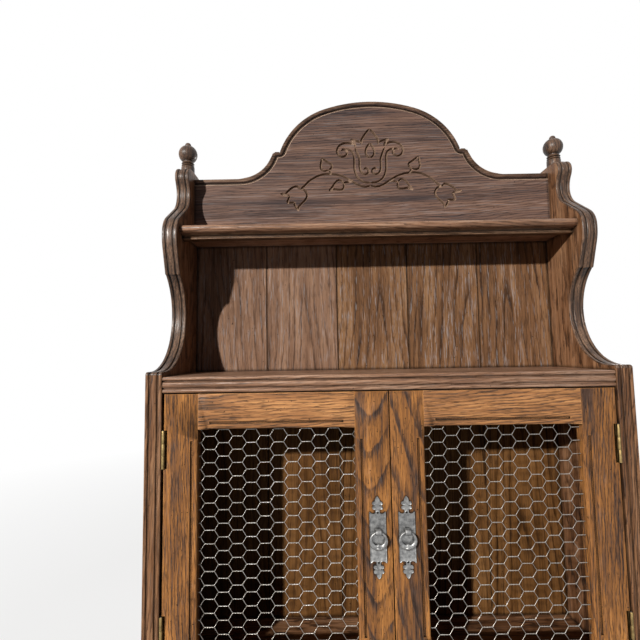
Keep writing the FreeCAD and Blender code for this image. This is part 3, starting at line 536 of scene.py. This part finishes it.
def skin(shape, rings, round_trip=False):
    """Faces between neighbouring rings of points, closed into a loop or capped at both ends."""
    layers = [[shape.verts.new(point) for point in ring] for ring in rings]
    pairs = list(zip(layers, layers[1:]))
    if round_trip:
        pairs.append((layers[-1], layers[0]))
    else:
        shape.faces.new(layers[0][::-1])
        shape.faces.new(layers[-1])
    for low, high in pairs:
        for step in range(len(low)):
            shape.faces.new((low[step - 1], low[step], high[step], high[step - 1]))


def turned(shape, profile, place, axis, sides):
    """A turned body: its profile of radius and height in millimetres, about an axis through a place."""
    upright_to_axis = Vector((0, 0, 1)).rotation_difference(Vector(axis)).to_matrix()
    turns = [2 * pi * step / sides for step in range(sides)]
    rings = []
    for radius, height in profile:
        ring = [Vector((radius * cos(turn), radius * sin(turn), height)) for turn in turns]
        rings.append([Vector(place) + upright_to_axis @ (point * MM) for point in ring])
    skin(shape, rings)


def tube(shape, points, radius, sides, sideways):
    """A round wire along a line of points."""
    turns = [2 * pi * corner / sides for corner in range(sides)]
    rings = []
    for step, point in enumerate(points):
        run = points[min(step + 1, len(points) - 1)] - points[max(step - 1, 0)]
        first = run.cross(sideways).normalized()
        second = run.cross(first).normalized()
        rings.append([point + radius * (cos(turn) * first + sin(turn) * second) for turn in turns])
    skin(shape, rings)


def smooth_line(points, step):
    """Points along a smooth curve through the given ones."""
    ends = [2 * points[0] - points[1]] + list(points) + [2 * points[-1] - points[-2]]
    line = []
    for before, start, end, after in zip(ends, ends[1:], ends[2:], ends[3:]):
        parts = max(2, round((end - start).length / step))
        for part in range(parts):
            share = part / parts
            line.append(0.5 * (
                2 * start + (end - before) * share
                + (2 * before - 5 * start + 4 * end - after) * share ** 2
                + (3 * start - before - 3 * end + after) * share ** 3))
    return line + [points[-1]]


def as_object(name, shape):
    """An object made of a shape, in the scene."""
    bmesh.ops.recalc_face_normals(shape, faces=shape.faces)
    mesh = bpy.data.meshes.new(name)
    shape.to_mesh(mesh)
    shape.free()
    item = bpy.data.objects.new(name, mesh)
    bpy.context.scene.collection.objects.link(item)
    return item


def piece(name, shape, body, material, stands_for=None, sharp=32):
    """A piece made of a shape, on a body and in place of a CAD node, smooth up to an angle in degrees."""
    item = as_object(name, shape)
    item.data.shade_smooth()
    item.data.set_sharp_from_angle(angle=radians(sharp))
    item.data.materials.append(material)
    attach(item, body)
    if stands_for:
        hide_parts(stands_for)
    return item


# Side panels

LAND_WIDEST = 14.5 * MM
REED_ROUNDING = 2.3 * MM
REED_SEGMENTS = 4
SQUARE_ARRIS = (radians(60), radians(120))
# The scrolled part of the edge, above the deck, takes a darker stain as painted shade and is glossier;
# larger faces are the flat sides
SCROLL_FACE_LARGEST = 0.02


def reeded_side(side):
    """A side panel whose front edge is worked to round reeds between the quirks."""
    node = f"side_panel_{side}"
    shape = flat_faced(node)
    rims = []
    for edge in shape.edges:
        low, high = (corner.co.x for corner in edge.verts)
        if abs(low - high) > SAME_POINT or not is_arris(edge, *SQUARE_ARRIS):
            continue
        strip = min(edge.link_faces, key=lambda face: abs(face.normal.x))
        places = [corner.co.x for corner in strip.verts]
        if max(places) - min(places) < LAND_WIDEST:
            rims.append(edge)
    bevel(shape, rims, REED_ROUNDING, REED_SEGMENTS, clamp=False)
    # Edge faces above the deck take the darker scroll stain, painted shade
    for face in shape.faces:
        is_edge = face.calc_area() < SCROLL_FACE_LARGEST
        face.material_index = int(is_edge and face.calc_center_median().z > DECK_MIDDLE)
    panel = piece(f"reeded_side_{side}", shape, "cabinet", WOOD[node], node)
    panel.data.materials.append(WOOD["scroll"])


# Door frames

# How far the worked edge stops short of the corners, its roundness, and the easing of the other arrises
EDGE_STOP = 21 * MM
EDGE_ROUNDING = 4.2 * MM
EDGE_SEGMENTS = 5
FRAME_EASING = 1.3 * MM
# Points this near to a stop's plane lie on it
STOP_REACH = 1e-6
# Stem, axis across the piece and axis along it
FRAME_PIECES = (("hinge_stile", 0, 2), ("meeting_stile", 0, 2), ("top_rail", 2, 0), ("bottom_rail", 2, 0))


def sight_opening(side):
    """The opening in a door's frame: its ends along the x axis, 0, and along the z axis, 2."""
    stiles = [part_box(f"{stem}_{side}") for stem in ("hinge_stile", "meeting_stile")]
    edges = sorted(corner.x for box in stiles for corner in box)
    return {0: edges[1:3], 2: (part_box(f"bottom_rail_{side}")[1].z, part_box(f"top_rail_{side}")[0].z)}


def rounded_frame(side):
    """Stiles and rails with a round edge along the sight opening, stopped short of the corners."""
    sight = sight_opening(side)
    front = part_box(f"hinge_stile_{side}")[0].y
    for stem, across, along in FRAME_PIECES:
        node = f"{stem}_{side}"
        shape = flat_faced(node)
        low = sight[along][0] + EDGE_STOP
        high = sight[along][1] - EDGE_STOP
        normal = Vector([float(axis == along) for axis in range(3)])
        for stop in (low, high):
            geometry = shape.verts[:] + shape.edges[:] + shape.faces[:]
            bmesh.ops.bisect_plane(
                shape, geom=geometry, dist=STOP_REACH, plane_co=normal * stop, plane_no=normal)
        worked = []
        plain = []
        for edge in shape.edges:
            if not is_arris(edge, ARRIS_ANGLE):
                continue
            points = [corner.co for corner in edge.verts]
            at_sight = any(
                all(abs(point[across] - spot) < SAME_POINT for point in points) for spot in sight[across])
            in_front = all(abs(point.y - front) < SAME_POINT for point in points)
            in_run = all(low - SAME_POINT < point[along] < high + SAME_POINT for point in points)
            if at_sight and in_front:
                if in_run:
                    worked.append(edge)
            else:
                plain.append(edge)
        bevel(shape, worked, EDGE_ROUNDING, EDGE_SEGMENTS, clamp=False)
        bevel(shape, [edge for edge in plain if edge.is_valid], FRAME_EASING, WOOD_SEGMENTS)
        piece(f"rounded_{node}", shape, f"door_{side}", WOOD[node], node)


# Crest

# The carving: the left half's strokes, as points across and up the crest in millimetres
CARVING = {
    "bud": ((-0.5, 1173), (-11, 1159.5), (-19.5, 1145.5), (-20.5, 1133)),
    "drop": ((-0.5, 1137), (-8.8, 1123), (-10.2, 1110.5), (-5, 1102.5), (0.5, 1101)),
    "leaflet_top": ((-20, 1138.5), (-33, 1143.5), (-46.5, 1147)),
    "leaflet_foot": ((-46.5, 1147), (-37.5, 1137.5), (-35, 1127)),
    "volute": (
        (-38.5, 1133), (-49.5, 1138.3), (-63, 1137.5), (-75, 1130.5), (-79.5, 1119), (-76.5, 1108.5),
        (-68.5, 1104), (-59.5, 1106.3), (-55.5, 1113.2), (-58.5, 1120.6), (-65, 1122.5), (-70, 1119)),
    "stem_outer": (
        (-58, 1124), (-44.5, 1117.5), (-39.2, 1107), (-38.2, 1090), (-38, 1070.5), (-31, 1051),
        (-16.5, 1040), (0.5, 1037.5)),
    "stem_inner": (
        (-36, 1125.5), (-29.7, 1109.5), (-25.5, 1095.5), (-25.8, 1079), (-22.8, 1065), (-13.5, 1058.7),
        (-5, 1063), (-5.7, 1071.5), (-12, 1074.3), (-16, 1069.7)),
    "vine": (
        (0.5, 1030.8), (-14.3, 1028), (-30.3, 1033), (-46, 1043), (-67, 1054.7), (-88.5, 1060.6),
        (-107.5, 1061.5), (-126.5, 1057), (-145.5, 1046.5), (-160, 1033), (-169.7, 1024.5)),
    "leaf_stalk": ((-46, 1041), (-57, 1040.6), (-66.3, 1038.3)),
    "leaf_top": (
        (-66.3, 1038.3), (-71.5, 1045), (-78.2, 1045.3), (-86.3, 1038.5), (-91.7, 1030.4), (-101.5, 1018)),
    "leaf_foot": (
        (-66.3, 1038.3), (-64.5, 1031), (-67.8, 1023), (-78.7, 1022), (-89.2, 1023.4), (-101.5, 1018)),
    "heart_stalk": ((-93.8, 1061.5), (-100.4, 1071.8)),
    "heart_left": (
        (-100.4, 1071.8), (-110, 1069.3), (-117.3, 1072.2), (-119.8, 1080.7), (-118.2, 1091.7),
        (-116.8, 1101.5)),
    "heart_right": (
        (-100.4, 1071.8), (-94.3, 1076), (-93.4, 1084), (-101.5, 1090), (-109.4, 1096), (-116.8, 1101.5)),
    "flower_right": (
        (-169.7, 1024.5), (-162.4, 1024.3), (-156.3, 1018), (-153.7, 1008), (-159.2, 997.3), (-170, 986.5),
        (-175.5, 978.4), (-174.2, 971.5)),
    "flower_left": (
        (-169.7, 1024.5), (-177.5, 1032), (-188.2, 1029.3), (-199, 1021.3), (-206, 1014.5), (-218, 1015)),
    "petal_1": ((-218, 1015), (-207.2, 1010.6), (-195, 1010.4)),
    "petal_2": ((-195, 1010.4), (-199.3, 999.3), (-200.6, 992.5), (-191.2, 992.3), (-183.3, 993.6)),
    "petal_3": ((-183.3, 993.6), (-183.4, 985.5), (-174.2, 971.5)),
}
# The crest's front, to the micrometre
CREST_FACE = round(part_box("crest_board")[0].y, 6)
# A gouged stroke in millimetres: the step along it, the run over which it deepens, and its section across
# the stroke and into the board; at the ends it starts with a share of its depth
STROKE_STEP = 2.2
STROKE_TAPER = 7.0
STROKE_START = 0.3
GOUGE = ((-3.3, -0.8), (0.0, 5.6), (3.3, -0.8))


def stroke(shape, points, sign):
    """One gouge cut along a curve, running out at both ends."""
    line = smooth_line([Vector((-sign * across, up)) for across, up in points], STROKE_STEP)
    length = [0.0]
    for start, end in zip(line, line[1:]):
        length.append(length[-1] + (end - start).length)
    rings = []
    for step, point in enumerate(line):
        run = (line[min(step + 1, len(line) - 1)] - line[max(step - 1, 0)]).normalized()
        side = Vector((-run.y, run.x))
        to_end = min(length[step], length[-1] - length[step])
        depth = min(1.0, STROKE_START + to_end / STROKE_TAPER)
        ring = []
        for out, inward in GOUGE:
            across = point.x + depth * out * side.x
            up = point.y + depth * out * side.y
            ring.append(Vector((across * MM, CREST_FACE + depth * inward * MM, up * MM)))
        rings.append(ring)
    skin(shape, rings)


# The bead along the top edge: its outer slope in the CAD, the share of it that is kept, and the roundings
OUTER_CHAMFER = 4 * MM
RIM_SHARE = 0.35
RIM_ROUNDING = 0.9 * MM
BEAD_ROUNDING = 1.6 * MM
LIP_ROUNDING = 2.2 * MM
BEAD_SEGMENTS = 3
BEAD_ARRIS = (radians(25), radians(65))
# The walls of the quirk beside the bead are less deep than this
QUIRK_WALL = 10 * MM
# Normals: of faces that look to the front, of the flat field, and of the back and the underside
FACING_FRONT = -0.99
FLAT_FIELD = -0.999
LEANING = 0.5
BEAD_SLOT = 1
LIP_SLOT = 2
CARVED_SHARP = radians(28)


def is_quirk_wall(face):
    places = [corner.co.y for corner in face.verts]
    return max(places) - min(places) < QUIRK_WALL


def fuller_bead(shape):
    """Draw the bead's front out towards the top edge, so that a narrower slope is left there."""
    slopes = []
    for edge in shape.edges:
        front, rear = sorted(edge.verts, key=lambda corner: corner.co.y)
        step = Vector((rear.co.x - front.co.x, 0, rear.co.z - front.co.z))
        on_face = abs(front.co.y - CREST_FACE) < SAME_POINT
        at_slope = abs(rear.co.y - CREST_FACE - OUTER_CHAMFER) < SAME_POINT
        if on_face and at_slope and step.length > OUTER_CHAMFER / 2:
            slopes.append((front, rear, step))
    for front, rear, step in slopes:
        front.co += (1 - RIM_SHARE) * step
        rear.co.y = CREST_FACE + RIM_SHARE * OUTER_CHAMFER
    return {corner for front, rear, _ in slopes for corner in (front, rear)}


def beaded_crest():
    """The crest board with a round bead and a rounded lip beside the quirk, before it is carved."""
    shape = flat_faced("crest_board")
    rim_corners = fuller_bead(shape)
    rims = [edge for edge in shape.edges if is_arris(edge, *BEAD_ARRIS)]
    outer = [edge for edge in rims if rim_corners.issuperset(edge.verts)]
    inner = [edge for edge in rims if not rim_corners.issuperset(edge.verts)]
    for edges, rounding in ((outer, RIM_ROUNDING), (inner, BEAD_ROUNDING)):
        bevel(shape, [edge for edge in edges if edge.is_valid], rounding, BEAD_SEGMENTS)
    fronts = [face for face in shape.faces if face.normal.y < FACING_FRONT]
    field = max(fronts, key=lambda face: face.calc_area())
    # The bead's faces take a darker stain, painted shade
    for face in shape.faces:
        is_bead = face is not field and face.normal.y < LEANING and face.normal.z > -LEANING
        face.material_index = BEAD_SLOT if is_bead else 0
    # The lip beside the quirk takes a paler stain, a painted highlight
    lip = [
        edge for edge in field.edges
        if any(face is not field and is_quirk_wall(face) for face in edge.link_faces)]
    for face in bevel(shape, lip, LIP_ROUNDING, BEAD_SEGMENTS):
        face.material_index = LIP_SLOT
    board = piece("carved_crest", shape, "cabinet", WOOD["crest_board"], "crest_board")
    board.data.materials.append(WOOD["crest_bead"])
    board.data.materials.append(WOOD["crest_lip"])
    return board


def carved_crest():
    """The crest board with the flower and vine gouged into its face."""
    board = beaded_crest()
    cuts = bmesh.new()
    for _, sign in SIDES:
        for points in CARVING.values():
            stroke(cuts, points, sign)
    cutter = as_object("cuts", cuts)
    # The gouged walls take the paler cut stain, partly raw worn wood and partly a painted highlight
    dress(cutter, WOOD["crest_cut"])
    carving = board.modifiers.new("carving", "BOOLEAN")
    carving.object = cutter
    carving.operation = "DIFFERENCE"
    carving.solver = "EXACT"
    carving.material_mode = "TRANSFER"
    carving.use_self = True
    made = bpy.data.meshes.new_from_object(board.evaluated_get(bpy.context.evaluated_depsgraph_get()))
    board.modifiers.clear()
    board.data = made
    made.set_sharp_from_angle(angle=CARVED_SHARP)
    for face in made.polygons:
        face.use_smooth = face.normal.y > FLAT_FIELD
    bpy.data.objects.remove(cutter)


# Finials

# Turned profile, as radius and height above the side panel in millimetres; a ring's heights are above
# its start
FINIAL_FOOT = (
    (0.5, -0.5), (15.2, -0.5), (15.5, 0.6), (15.5, 13.6), (14.9, 14.6), (13.8, 15.0), (12.2, 15.3))
FINIAL_RING = ((12.8, 0.7), (14.4, 1.7), (15.0, 2.75), (14.4, 3.8), (12.8, 4.8), (12.1, 5.5))
FINIAL_RING_STARTS = (15.0, 20.5)
FINIAL_NECK = ((12.0, 26.4), (12.0, 28.6))
FINIAL_BUTTON = (
    (10.5, 65.0), (7.6, 65.2), (6.9, 65.8), (7.4, 67.2), (7.5, 69.0), (6.9, 71.6), (5.4, 74.2),
    (3.0, 75.8), (0.3, 76.28))
# The ball: its radius, the height of its middle, and the angles at which it starts and ends
BALL_RADIUS = 22.0
BALL_MIDDLE = 47.0
BALL_SPAN = (-53, 51)
BALL_STEPS = 16
FINIAL_SIDES = 56


def finial_profile():
    """Drum, two rings, a neck, a round ball and a button."""
    profile = list(FINIAL_FOOT)
    for start in FINIAL_RING_STARTS:
        profile += [(radius, start + rise) for radius, rise in FINIAL_RING]
    profile += FINIAL_NECK
    low, high = BALL_SPAN
    for step in range(BALL_STEPS + 1):
        turn = radians(low + (high - low) * step / BALL_STEPS)
        profile.append((BALL_RADIUS * cos(turn), BALL_MIDDLE + BALL_RADIUS * sin(turn)))
    return profile + list(FINIAL_BUTTON)


def finials():
    low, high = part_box("finials")
    profile = finial_profile()
    panel_top = high.z - profile[-1][1] * MM
    shape = bmesh.new()
    for _, sign in SIDES:
        place = (sign * (high.x - BALL_RADIUS * MM), (low.y + high.y) / 2, panel_top)
        turned(shape, profile, place, (0, 0, 1), FINIAL_SIDES)
    piece("turned_finials", shape, "cabinet", WOOD["finials"], "finials", sharp=40)


# Hexagonal netting, in millimetres

# The first twist of each door, across from the hinge side and down from the top of the sight opening
NET_FIRST = {"left": (20.0, 14.5), "right": (6.4, 7.4)}
# Pitch across and down, length of a twist, its turns, and the lap behind the frame
NET_PITCH = (26.0, 24.5)
NET_TWIST = 19.0
NET_TURNS = 2
NET_LAP = 6.0
# Columns of twists and levels of wires that cover the opening of either door
NET_COLUMNS = range(-2, 14)
NET_LEVELS = range(-1, 18)
# Radius of the wire, and of the coil that its middle makes in a twist
WIRE_RADIUS = 0.46
NET_COIL = 0.56
WIRE_SIDES = 5
STEPS_TO_TURN = 6


def net_wire(first, level, upper):
    """One wire's way across the net, from the opening's top corner at the hinges: across, back and up.

    It twists with the wire above and with the wire below by turns.
    """
    points = []
    steps = NET_TURNS * STEPS_TO_TURN
    for column in NET_COLUMNS:
        odd = column % 2
        rise = NET_PITCH[1] / 2 * (1 if upper else -1) if odd else 0
        on_top = upper != bool(odd)
        for step in range(steps + 1):
            turn = 2 * pi * NET_TURNS * step / steps + (0 if on_top else pi)
            points.append(Vector((
                first[0] + NET_PITCH[0] * column + NET_TWIST * (step / steps - 0.5),
                NET_COIL * sin(turn),
                rise - first[1] - NET_PITCH[1] * level + NET_COIL * cos(turn))))
    return points


def netting(side, sign):
    node = f"wire_net_{side}"
    sight = sight_opening(side)
    width, height = ((sight[axis][1] - sight[axis][0]) / MM for axis in (0, 2))
    corner = Vector((sign * max(abs(end) for end in sight[0]), middle_of(node).y, sight[2][1]))

    def covers(point):
        return -NET_LAP <= point.x <= width + NET_LAP and -height - NET_LAP <= point.z <= NET_LAP

    shape = bmesh.new()
    for level in NET_LEVELS:
        for upper in (True, False):
            run = []
            for point in net_wire(NET_FIRST[side], level, upper) + [None]:
                if point is not None and covers(point):
                    run.append(corner + Vector((-sign * point.x, point.y, point.z)) * MM)
                    continue
                if len(run) > 1:
                    tube(shape, run, WIRE_RADIUS * MM, WIRE_SIDES, Vector((0, 1, 0)))
                run = []
    piece(
        f"twisted_netting_{side}", shape, f"door_{side}", FINISH["wire"], node,
        sharp=75)


# Pulls

# The back plate: the width of its raised border, how far the field is sunk, how near to its front a face
# counts as front, and how far the nails lie from its middle
PLATE_RIM = 1.0 * MM
PLATE_SINK = 0.55 * MM
PLATE_FRONT_DEPTH = 0.1 * MM
NAIL_DROP = 44.0 * MM
# Turned profile of a nail's head, as radius and height in millimetres
NAIL = ((1.75, 0), (1.75, 0.5), (1.5, 0.9), (0.9, 1.2), (0.2, 1.3))
NAIL_SIDES = 12


def rimmed_plate(side):
    """The back plate with a raised border round a sunk field, and its nails."""
    node = f"pull_plate_{side}"
    shape = welded(node)
    low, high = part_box(node)
    field = [
        face for face in shape.faces
        if face.normal.y < FACING_FRONT and face.calc_center_median().y < low.y + PLATE_FRONT_DEPTH]
    bmesh.ops.inset_region(
        shape, faces=field, thickness=PLATE_RIM, depth=0, use_even_offset=True, use_boundary=True)
    for corner in {corner for face in field for corner in face.verts}:
        corner.co.y += PLATE_SINK
    piece(f"rimmed_plate_{side}", shape, f"door_{side}", FINISH["iron"], node)
    middle = middle_of(node)
    nails = bmesh.new()
    for drop in (-NAIL_DROP, NAIL_DROP):
        turned(nails, NAIL, (middle.x, high.y, middle.z + drop), (0, -1, 0), NAIL_SIDES)
    piece(f"plate_nails_{side}", nails, f"door_{side}", FINISH["nail"], sharp=50)


# The ring, in millimetres: middle above the plate's middle and radius of its outer and of its inner edge
RING_OUTER = (-4.5, 17.0)
RING_INNER = (-1.7, 11.0)
# Half the thickness of the bar: what all of it has, and what it gains where its half width is full
RING_THICK = 1.5
RING_SWELL = 0.5
RING_FULL_HALF = 4.4
# The cusp that rises into the ring's opening from the foot: its height, half its angle and its sharpness
RING_CUSP = 3.4
CUSP_ANGLE = radians(40)
CUSP_SHARPNESS = 1.5
RING_STEPS = 48
BAR_SIDES = 10
# The ribbed bead at the foot: its place under the plate's middle, and its profile along the x axis
RING_FOOT = -17.1
RING_BEAD = (
    (0.4, -5.6), (2.4, -5.4), (3.2, -4.7), (3.2, -4.1), (2.5, -3.6), (2.8, -2.8), (3.35, -1.5), (3.5, 0),
    (3.35, 1.5), (2.8, 2.8), (2.5, 3.6), (3.2, 4.1), (3.2, 4.7), (2.4, 5.4), (0.4, 5.6))
RING_BEAD_SIDES = 20


def round_ring(side):
    """The pull's ring: a round bar that swells towards the foot, with a ribbed bead there."""
    node = f"pull_ring_{side}"
    plate = middle_of(f"pull_plate_{side}")
    middle = Vector((plate.x, middle_of(node).y, plate.z))
    shape = bmesh.new()
    bends = [2 * pi * corner / BAR_SIDES for corner in range(BAR_SIDES)]
    rings = []
    for step in range(RING_STEPS):
        turn = 2 * pi * step / RING_STEPS
        way = Vector((sin(turn), 0, cos(turn)))
        cusp = RING_CUSP * max(0.0, 1 - abs(turn - pi) / CUSP_ANGLE) ** CUSP_SHARPNESS
        outer = Vector((0, 0, RING_OUTER[0])) + RING_OUTER[1] * way
        inner = Vector((0, 0, RING_INNER[0])) + (RING_INNER[1] - cusp) * way
        half = (outer - inner) / 2
        back = Vector((0, RING_THICK + RING_SWELL * half.length / RING_FULL_HALF, 0))
        ring = [(outer + inner) / 2 + cos(bend) * half + sin(bend) * back for bend in bends]
        rings.append([middle + point * MM for point in ring])
    skin(shape, rings, round_trip=True)
    foot = middle + Vector((0, 0, RING_FOOT)) * MM
    turned(shape, RING_BEAD, foot, (1, 0, 0), RING_BEAD_SIDES)
    piece(f"round_ring_{side}", shape, f"ring_{side}", FINISH["iron"], node, sharp=60)


# Hinge screws, in millimetres

HINGE_LENGTH = 70.0
LEAF_THICK = 1.2
# Places along a hinge, and from the rear edge of its leaves
SCREW_PLACES = (12.0, 35.0, 58.0)
SCREW_INSET = 7.0
# A head: a thin disc, and on it two half discs with the slot between them
SCREW_RADIUS = 2.9
SCREW_DISC = ((SCREW_RADIUS, -0.05), (SCREW_RADIUS, 0.1))
SCREW_SIDES = 20
HALF_DISC_RADIUS = 0.96 * SCREW_RADIUS
HALF_DISC_TURNS = range(-80, 81, 20)
SCREW_SLOT = 0.45
SCREW_PROUD = 0.35
# How the slots of a leaf are turned, in radians: the first one, and from each to the next
FIRST_TILT = 0.5
NEXT_TILT = 0.9


def screw_head(shape, middle, way, tilt):
    """A slotted head on a face that looks one way along the x axis."""
    turned(shape, SCREW_DISC, middle, (way, 0, 0), SCREW_SIDES)
    along = Vector((0, cos(tilt), sin(tilt)))
    over = Vector((0, -sin(tilt), cos(tilt)))
    for half in (-1, 1):
        outline = []
        for turn in map(radians, HALF_DISC_TURNS):
            out = max(SCREW_SLOT, HALF_DISC_RADIUS * cos(turn))
            outline.append(middle + MM * (half * out * over + HALF_DISC_RADIUS * sin(turn) * along))
        proud = Vector((way * SCREW_PROUD * MM, 0, 0))
        skin(shape, (outline, [point + proud for point in outline]))


def hinge_screws():
    """Heads on the open face of every leaf; a case leaf has its back outermost, a door leaf innermost."""
    for side, sign in SIDES:
        leaves = (("case", "cabinet", -sign, max), ("door", f"door_{side}", sign, min))
        for kind, body, way, back in leaves:
            low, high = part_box(f"{kind}_hinge_leaves_{side}")
            face = sign * back(abs(low.x), abs(high.x)) + way * LEAF_THICK * MM
            shape = bmesh.new()
            for start in (high.z - HINGE_LENGTH * MM, low.z):
                for order, place in enumerate(SCREW_PLACES):
                    middle = Vector((face, high.y - SCREW_INSET * MM, start + place * MM))
                    screw_head(shape, middle, way, FIRST_TILT + NEXT_TILT * order)
            piece(f"{kind}_hinge_screws_{side}", shape, body, FINISH["brass"])


# Stage, light and camera

FLOOR_HALF = 8.0
FLOOR_ROUGHNESS = 0.9
# The floor's grey as the camera sees it, and for the light that it throws on the object
FLOOR_TO_CAMERA = (0.80, 0.80, 0.80)
FLOOR_TO_OBJECT = (0.20, 0.20, 0.20)
# Share of plain white in the floor near the object, how far off it starts to grow and is whole, and the
# distance that the ramp covers
NEAR_WHITE = 0.74
NEAR_REACH = 0.88
WHITE_REACH = 2.40
FLOOR_SPAN = 4.0


def floor():
    """A pale floor that keeps the object's shadow near it and is white further away."""
    tree = Tree(bpy.data.materials.new("pale_floor"))
    to_camera = tree.add("LightPath").outputs["Is Camera Ray"]
    grey = tree.mix(to_camera, FLOOR_TO_OBJECT, FLOOR_TO_CAMERA)
    tree.surface({"Base Color": grey, "Roughness": FLOOR_ROUGHNESS})
    far = tree.add("VectorMath", {0: tree.object_place()}, operation="LENGTH").outputs["Value"]
    span_share = tree.math("DIVIDE", far, FLOOR_SPAN)
    white = tree.rise(span_share, NEAR_REACH / FLOOR_SPAN, WHITE_REACH / FLOOR_SPAN, least=NEAR_WHITE)
    glow = tree.add("Emission", {"Color": WHITE, "Strength": 1.0})
    blend = tree.add("MixShader", {
        0: tree.math("MULTIPLY", tree.seen(), white),
        1: tree.nodes["Principled BSDF"].outputs[0],
        2: glow.outputs[0]})
    tree.feed(tree.nodes["Material Output"].inputs["Surface"], blend.outputs[0])
    mesh = bpy.data.meshes.new("floor")
    corners = [(-1, -1, 0), (1, -1, 0), (1, 1, 0), (-1, 1, 0)]
    mesh.from_pydata([FLOOR_HALF * Vector(corner) for corner in corners], [], [(0, 1, 2, 3)])
    item = bpy.data.objects.new("floor", mesh)
    bpy.context.scene.collection.objects.link(item)
    dress(item, tree.owner)


AMBIENT = 0.010


def world():
    """A white surround that lights the object only a little."""
    scene = bpy.context.scene
    scene.world = bpy.data.worlds.new("studio")
    tree = Tree(scene.world)
    strength = tree.add("MapRange", {"Value": tree.seen(), "To Min": AMBIENT, "To Max": 1.0})
    background = tree.nodes["Background"]
    tree.feed(background.inputs["Color"], WHITE)
    tree.feed(background.inputs["Strength"], strength.outputs["Result"])
    scene.view_settings.view_transform = "Standard"


LIGHT_TARGET = Vector((0.0, 0.0, 0.66))
# The key stands far off and is small for its distance, so that its shadows have clear edges
KEY_WAY = Vector((0.69, 1.0, -0.43)).normalized()
KEY_DISTANCE = 12.0
# Place, size, power and tint of each lamp
LAMPS = {
    "key": (LIGHT_TARGET - KEY_DISTANCE * KEY_WAY, 0.4, 1840, (1.0, 0.97, 0.92)),
    "fill": (Vector((2.2, -3.0, 1.6)), 2.5, 3, (0.35, 0.60, 1.0)),
    "back": (Vector((2.6, 3.2, 0.6)), 1.2, 66, WHITE),
}


def lights():
    for name, (place, size, power, tint) in LAMPS.items():
        light = bpy.data.lights.new(name, "AREA")
        light.shape = "DISK"
        light.size = size
        light.energy = power
        light.color = tint
        item = bpy.data.objects.new(name, light)
        item.location = place
        item.rotation_euler = (LIGHT_TARGET - place).to_track_quat("-Z", "Y").to_euler()
        bpy.context.scene.collection.objects.link(item)


# The camera's place, its turns in radians and its lens, from the lines of the cabinet in the photograph
CAMERA_PLACE = (-0.12058, -0.90878, 0.631)
CAMERA_PITCH = 0.078244
CAMERA_YAW = -0.007082
CAMERA_ROLL = -0.016180
SENSOR_WIDTH = 36
FOCAL_LENGTH = 23.625


def camera():
    pitch, yaw, roll = CAMERA_PITCH, CAMERA_YAW, CAMERA_ROLL
    right = Vector((cos(yaw), -sin(yaw), 0))
    ahead = Vector((cos(pitch) * sin(yaw), cos(pitch) * cos(yaw), sin(pitch)))
    up = Vector((-sin(pitch) * sin(yaw), -sin(pitch) * cos(yaw), cos(pitch)))
    turned_right = cos(roll) * right + sin(roll) * up
    turned_up = cos(roll) * up - sin(roll) * right
    data = bpy.data.cameras.new("camera")
    data.sensor_width = SENSOR_WIDTH
    data.lens = FOCAL_LENGTH
    item = bpy.data.objects.new("camera", data)
    turn = Matrix((turned_right, turned_up, -ahead)).transposed().to_4x4()
    item.matrix_world = Matrix.Translation(CAMERA_PLACE) @ turn
    bpy.context.scene.collection.objects.link(item)
    bpy.context.scene.camera = item


dress_wood()
dress_fittings()
carved_crest()
finials()
hinge_screws()
for side, sign in SIDES:
    reeded_side(side)
    rounded_frame(side)
    netting(side, sign)
    rimmed_plate(side)
    round_ring(side)
floor()
world()
lights()
camera()
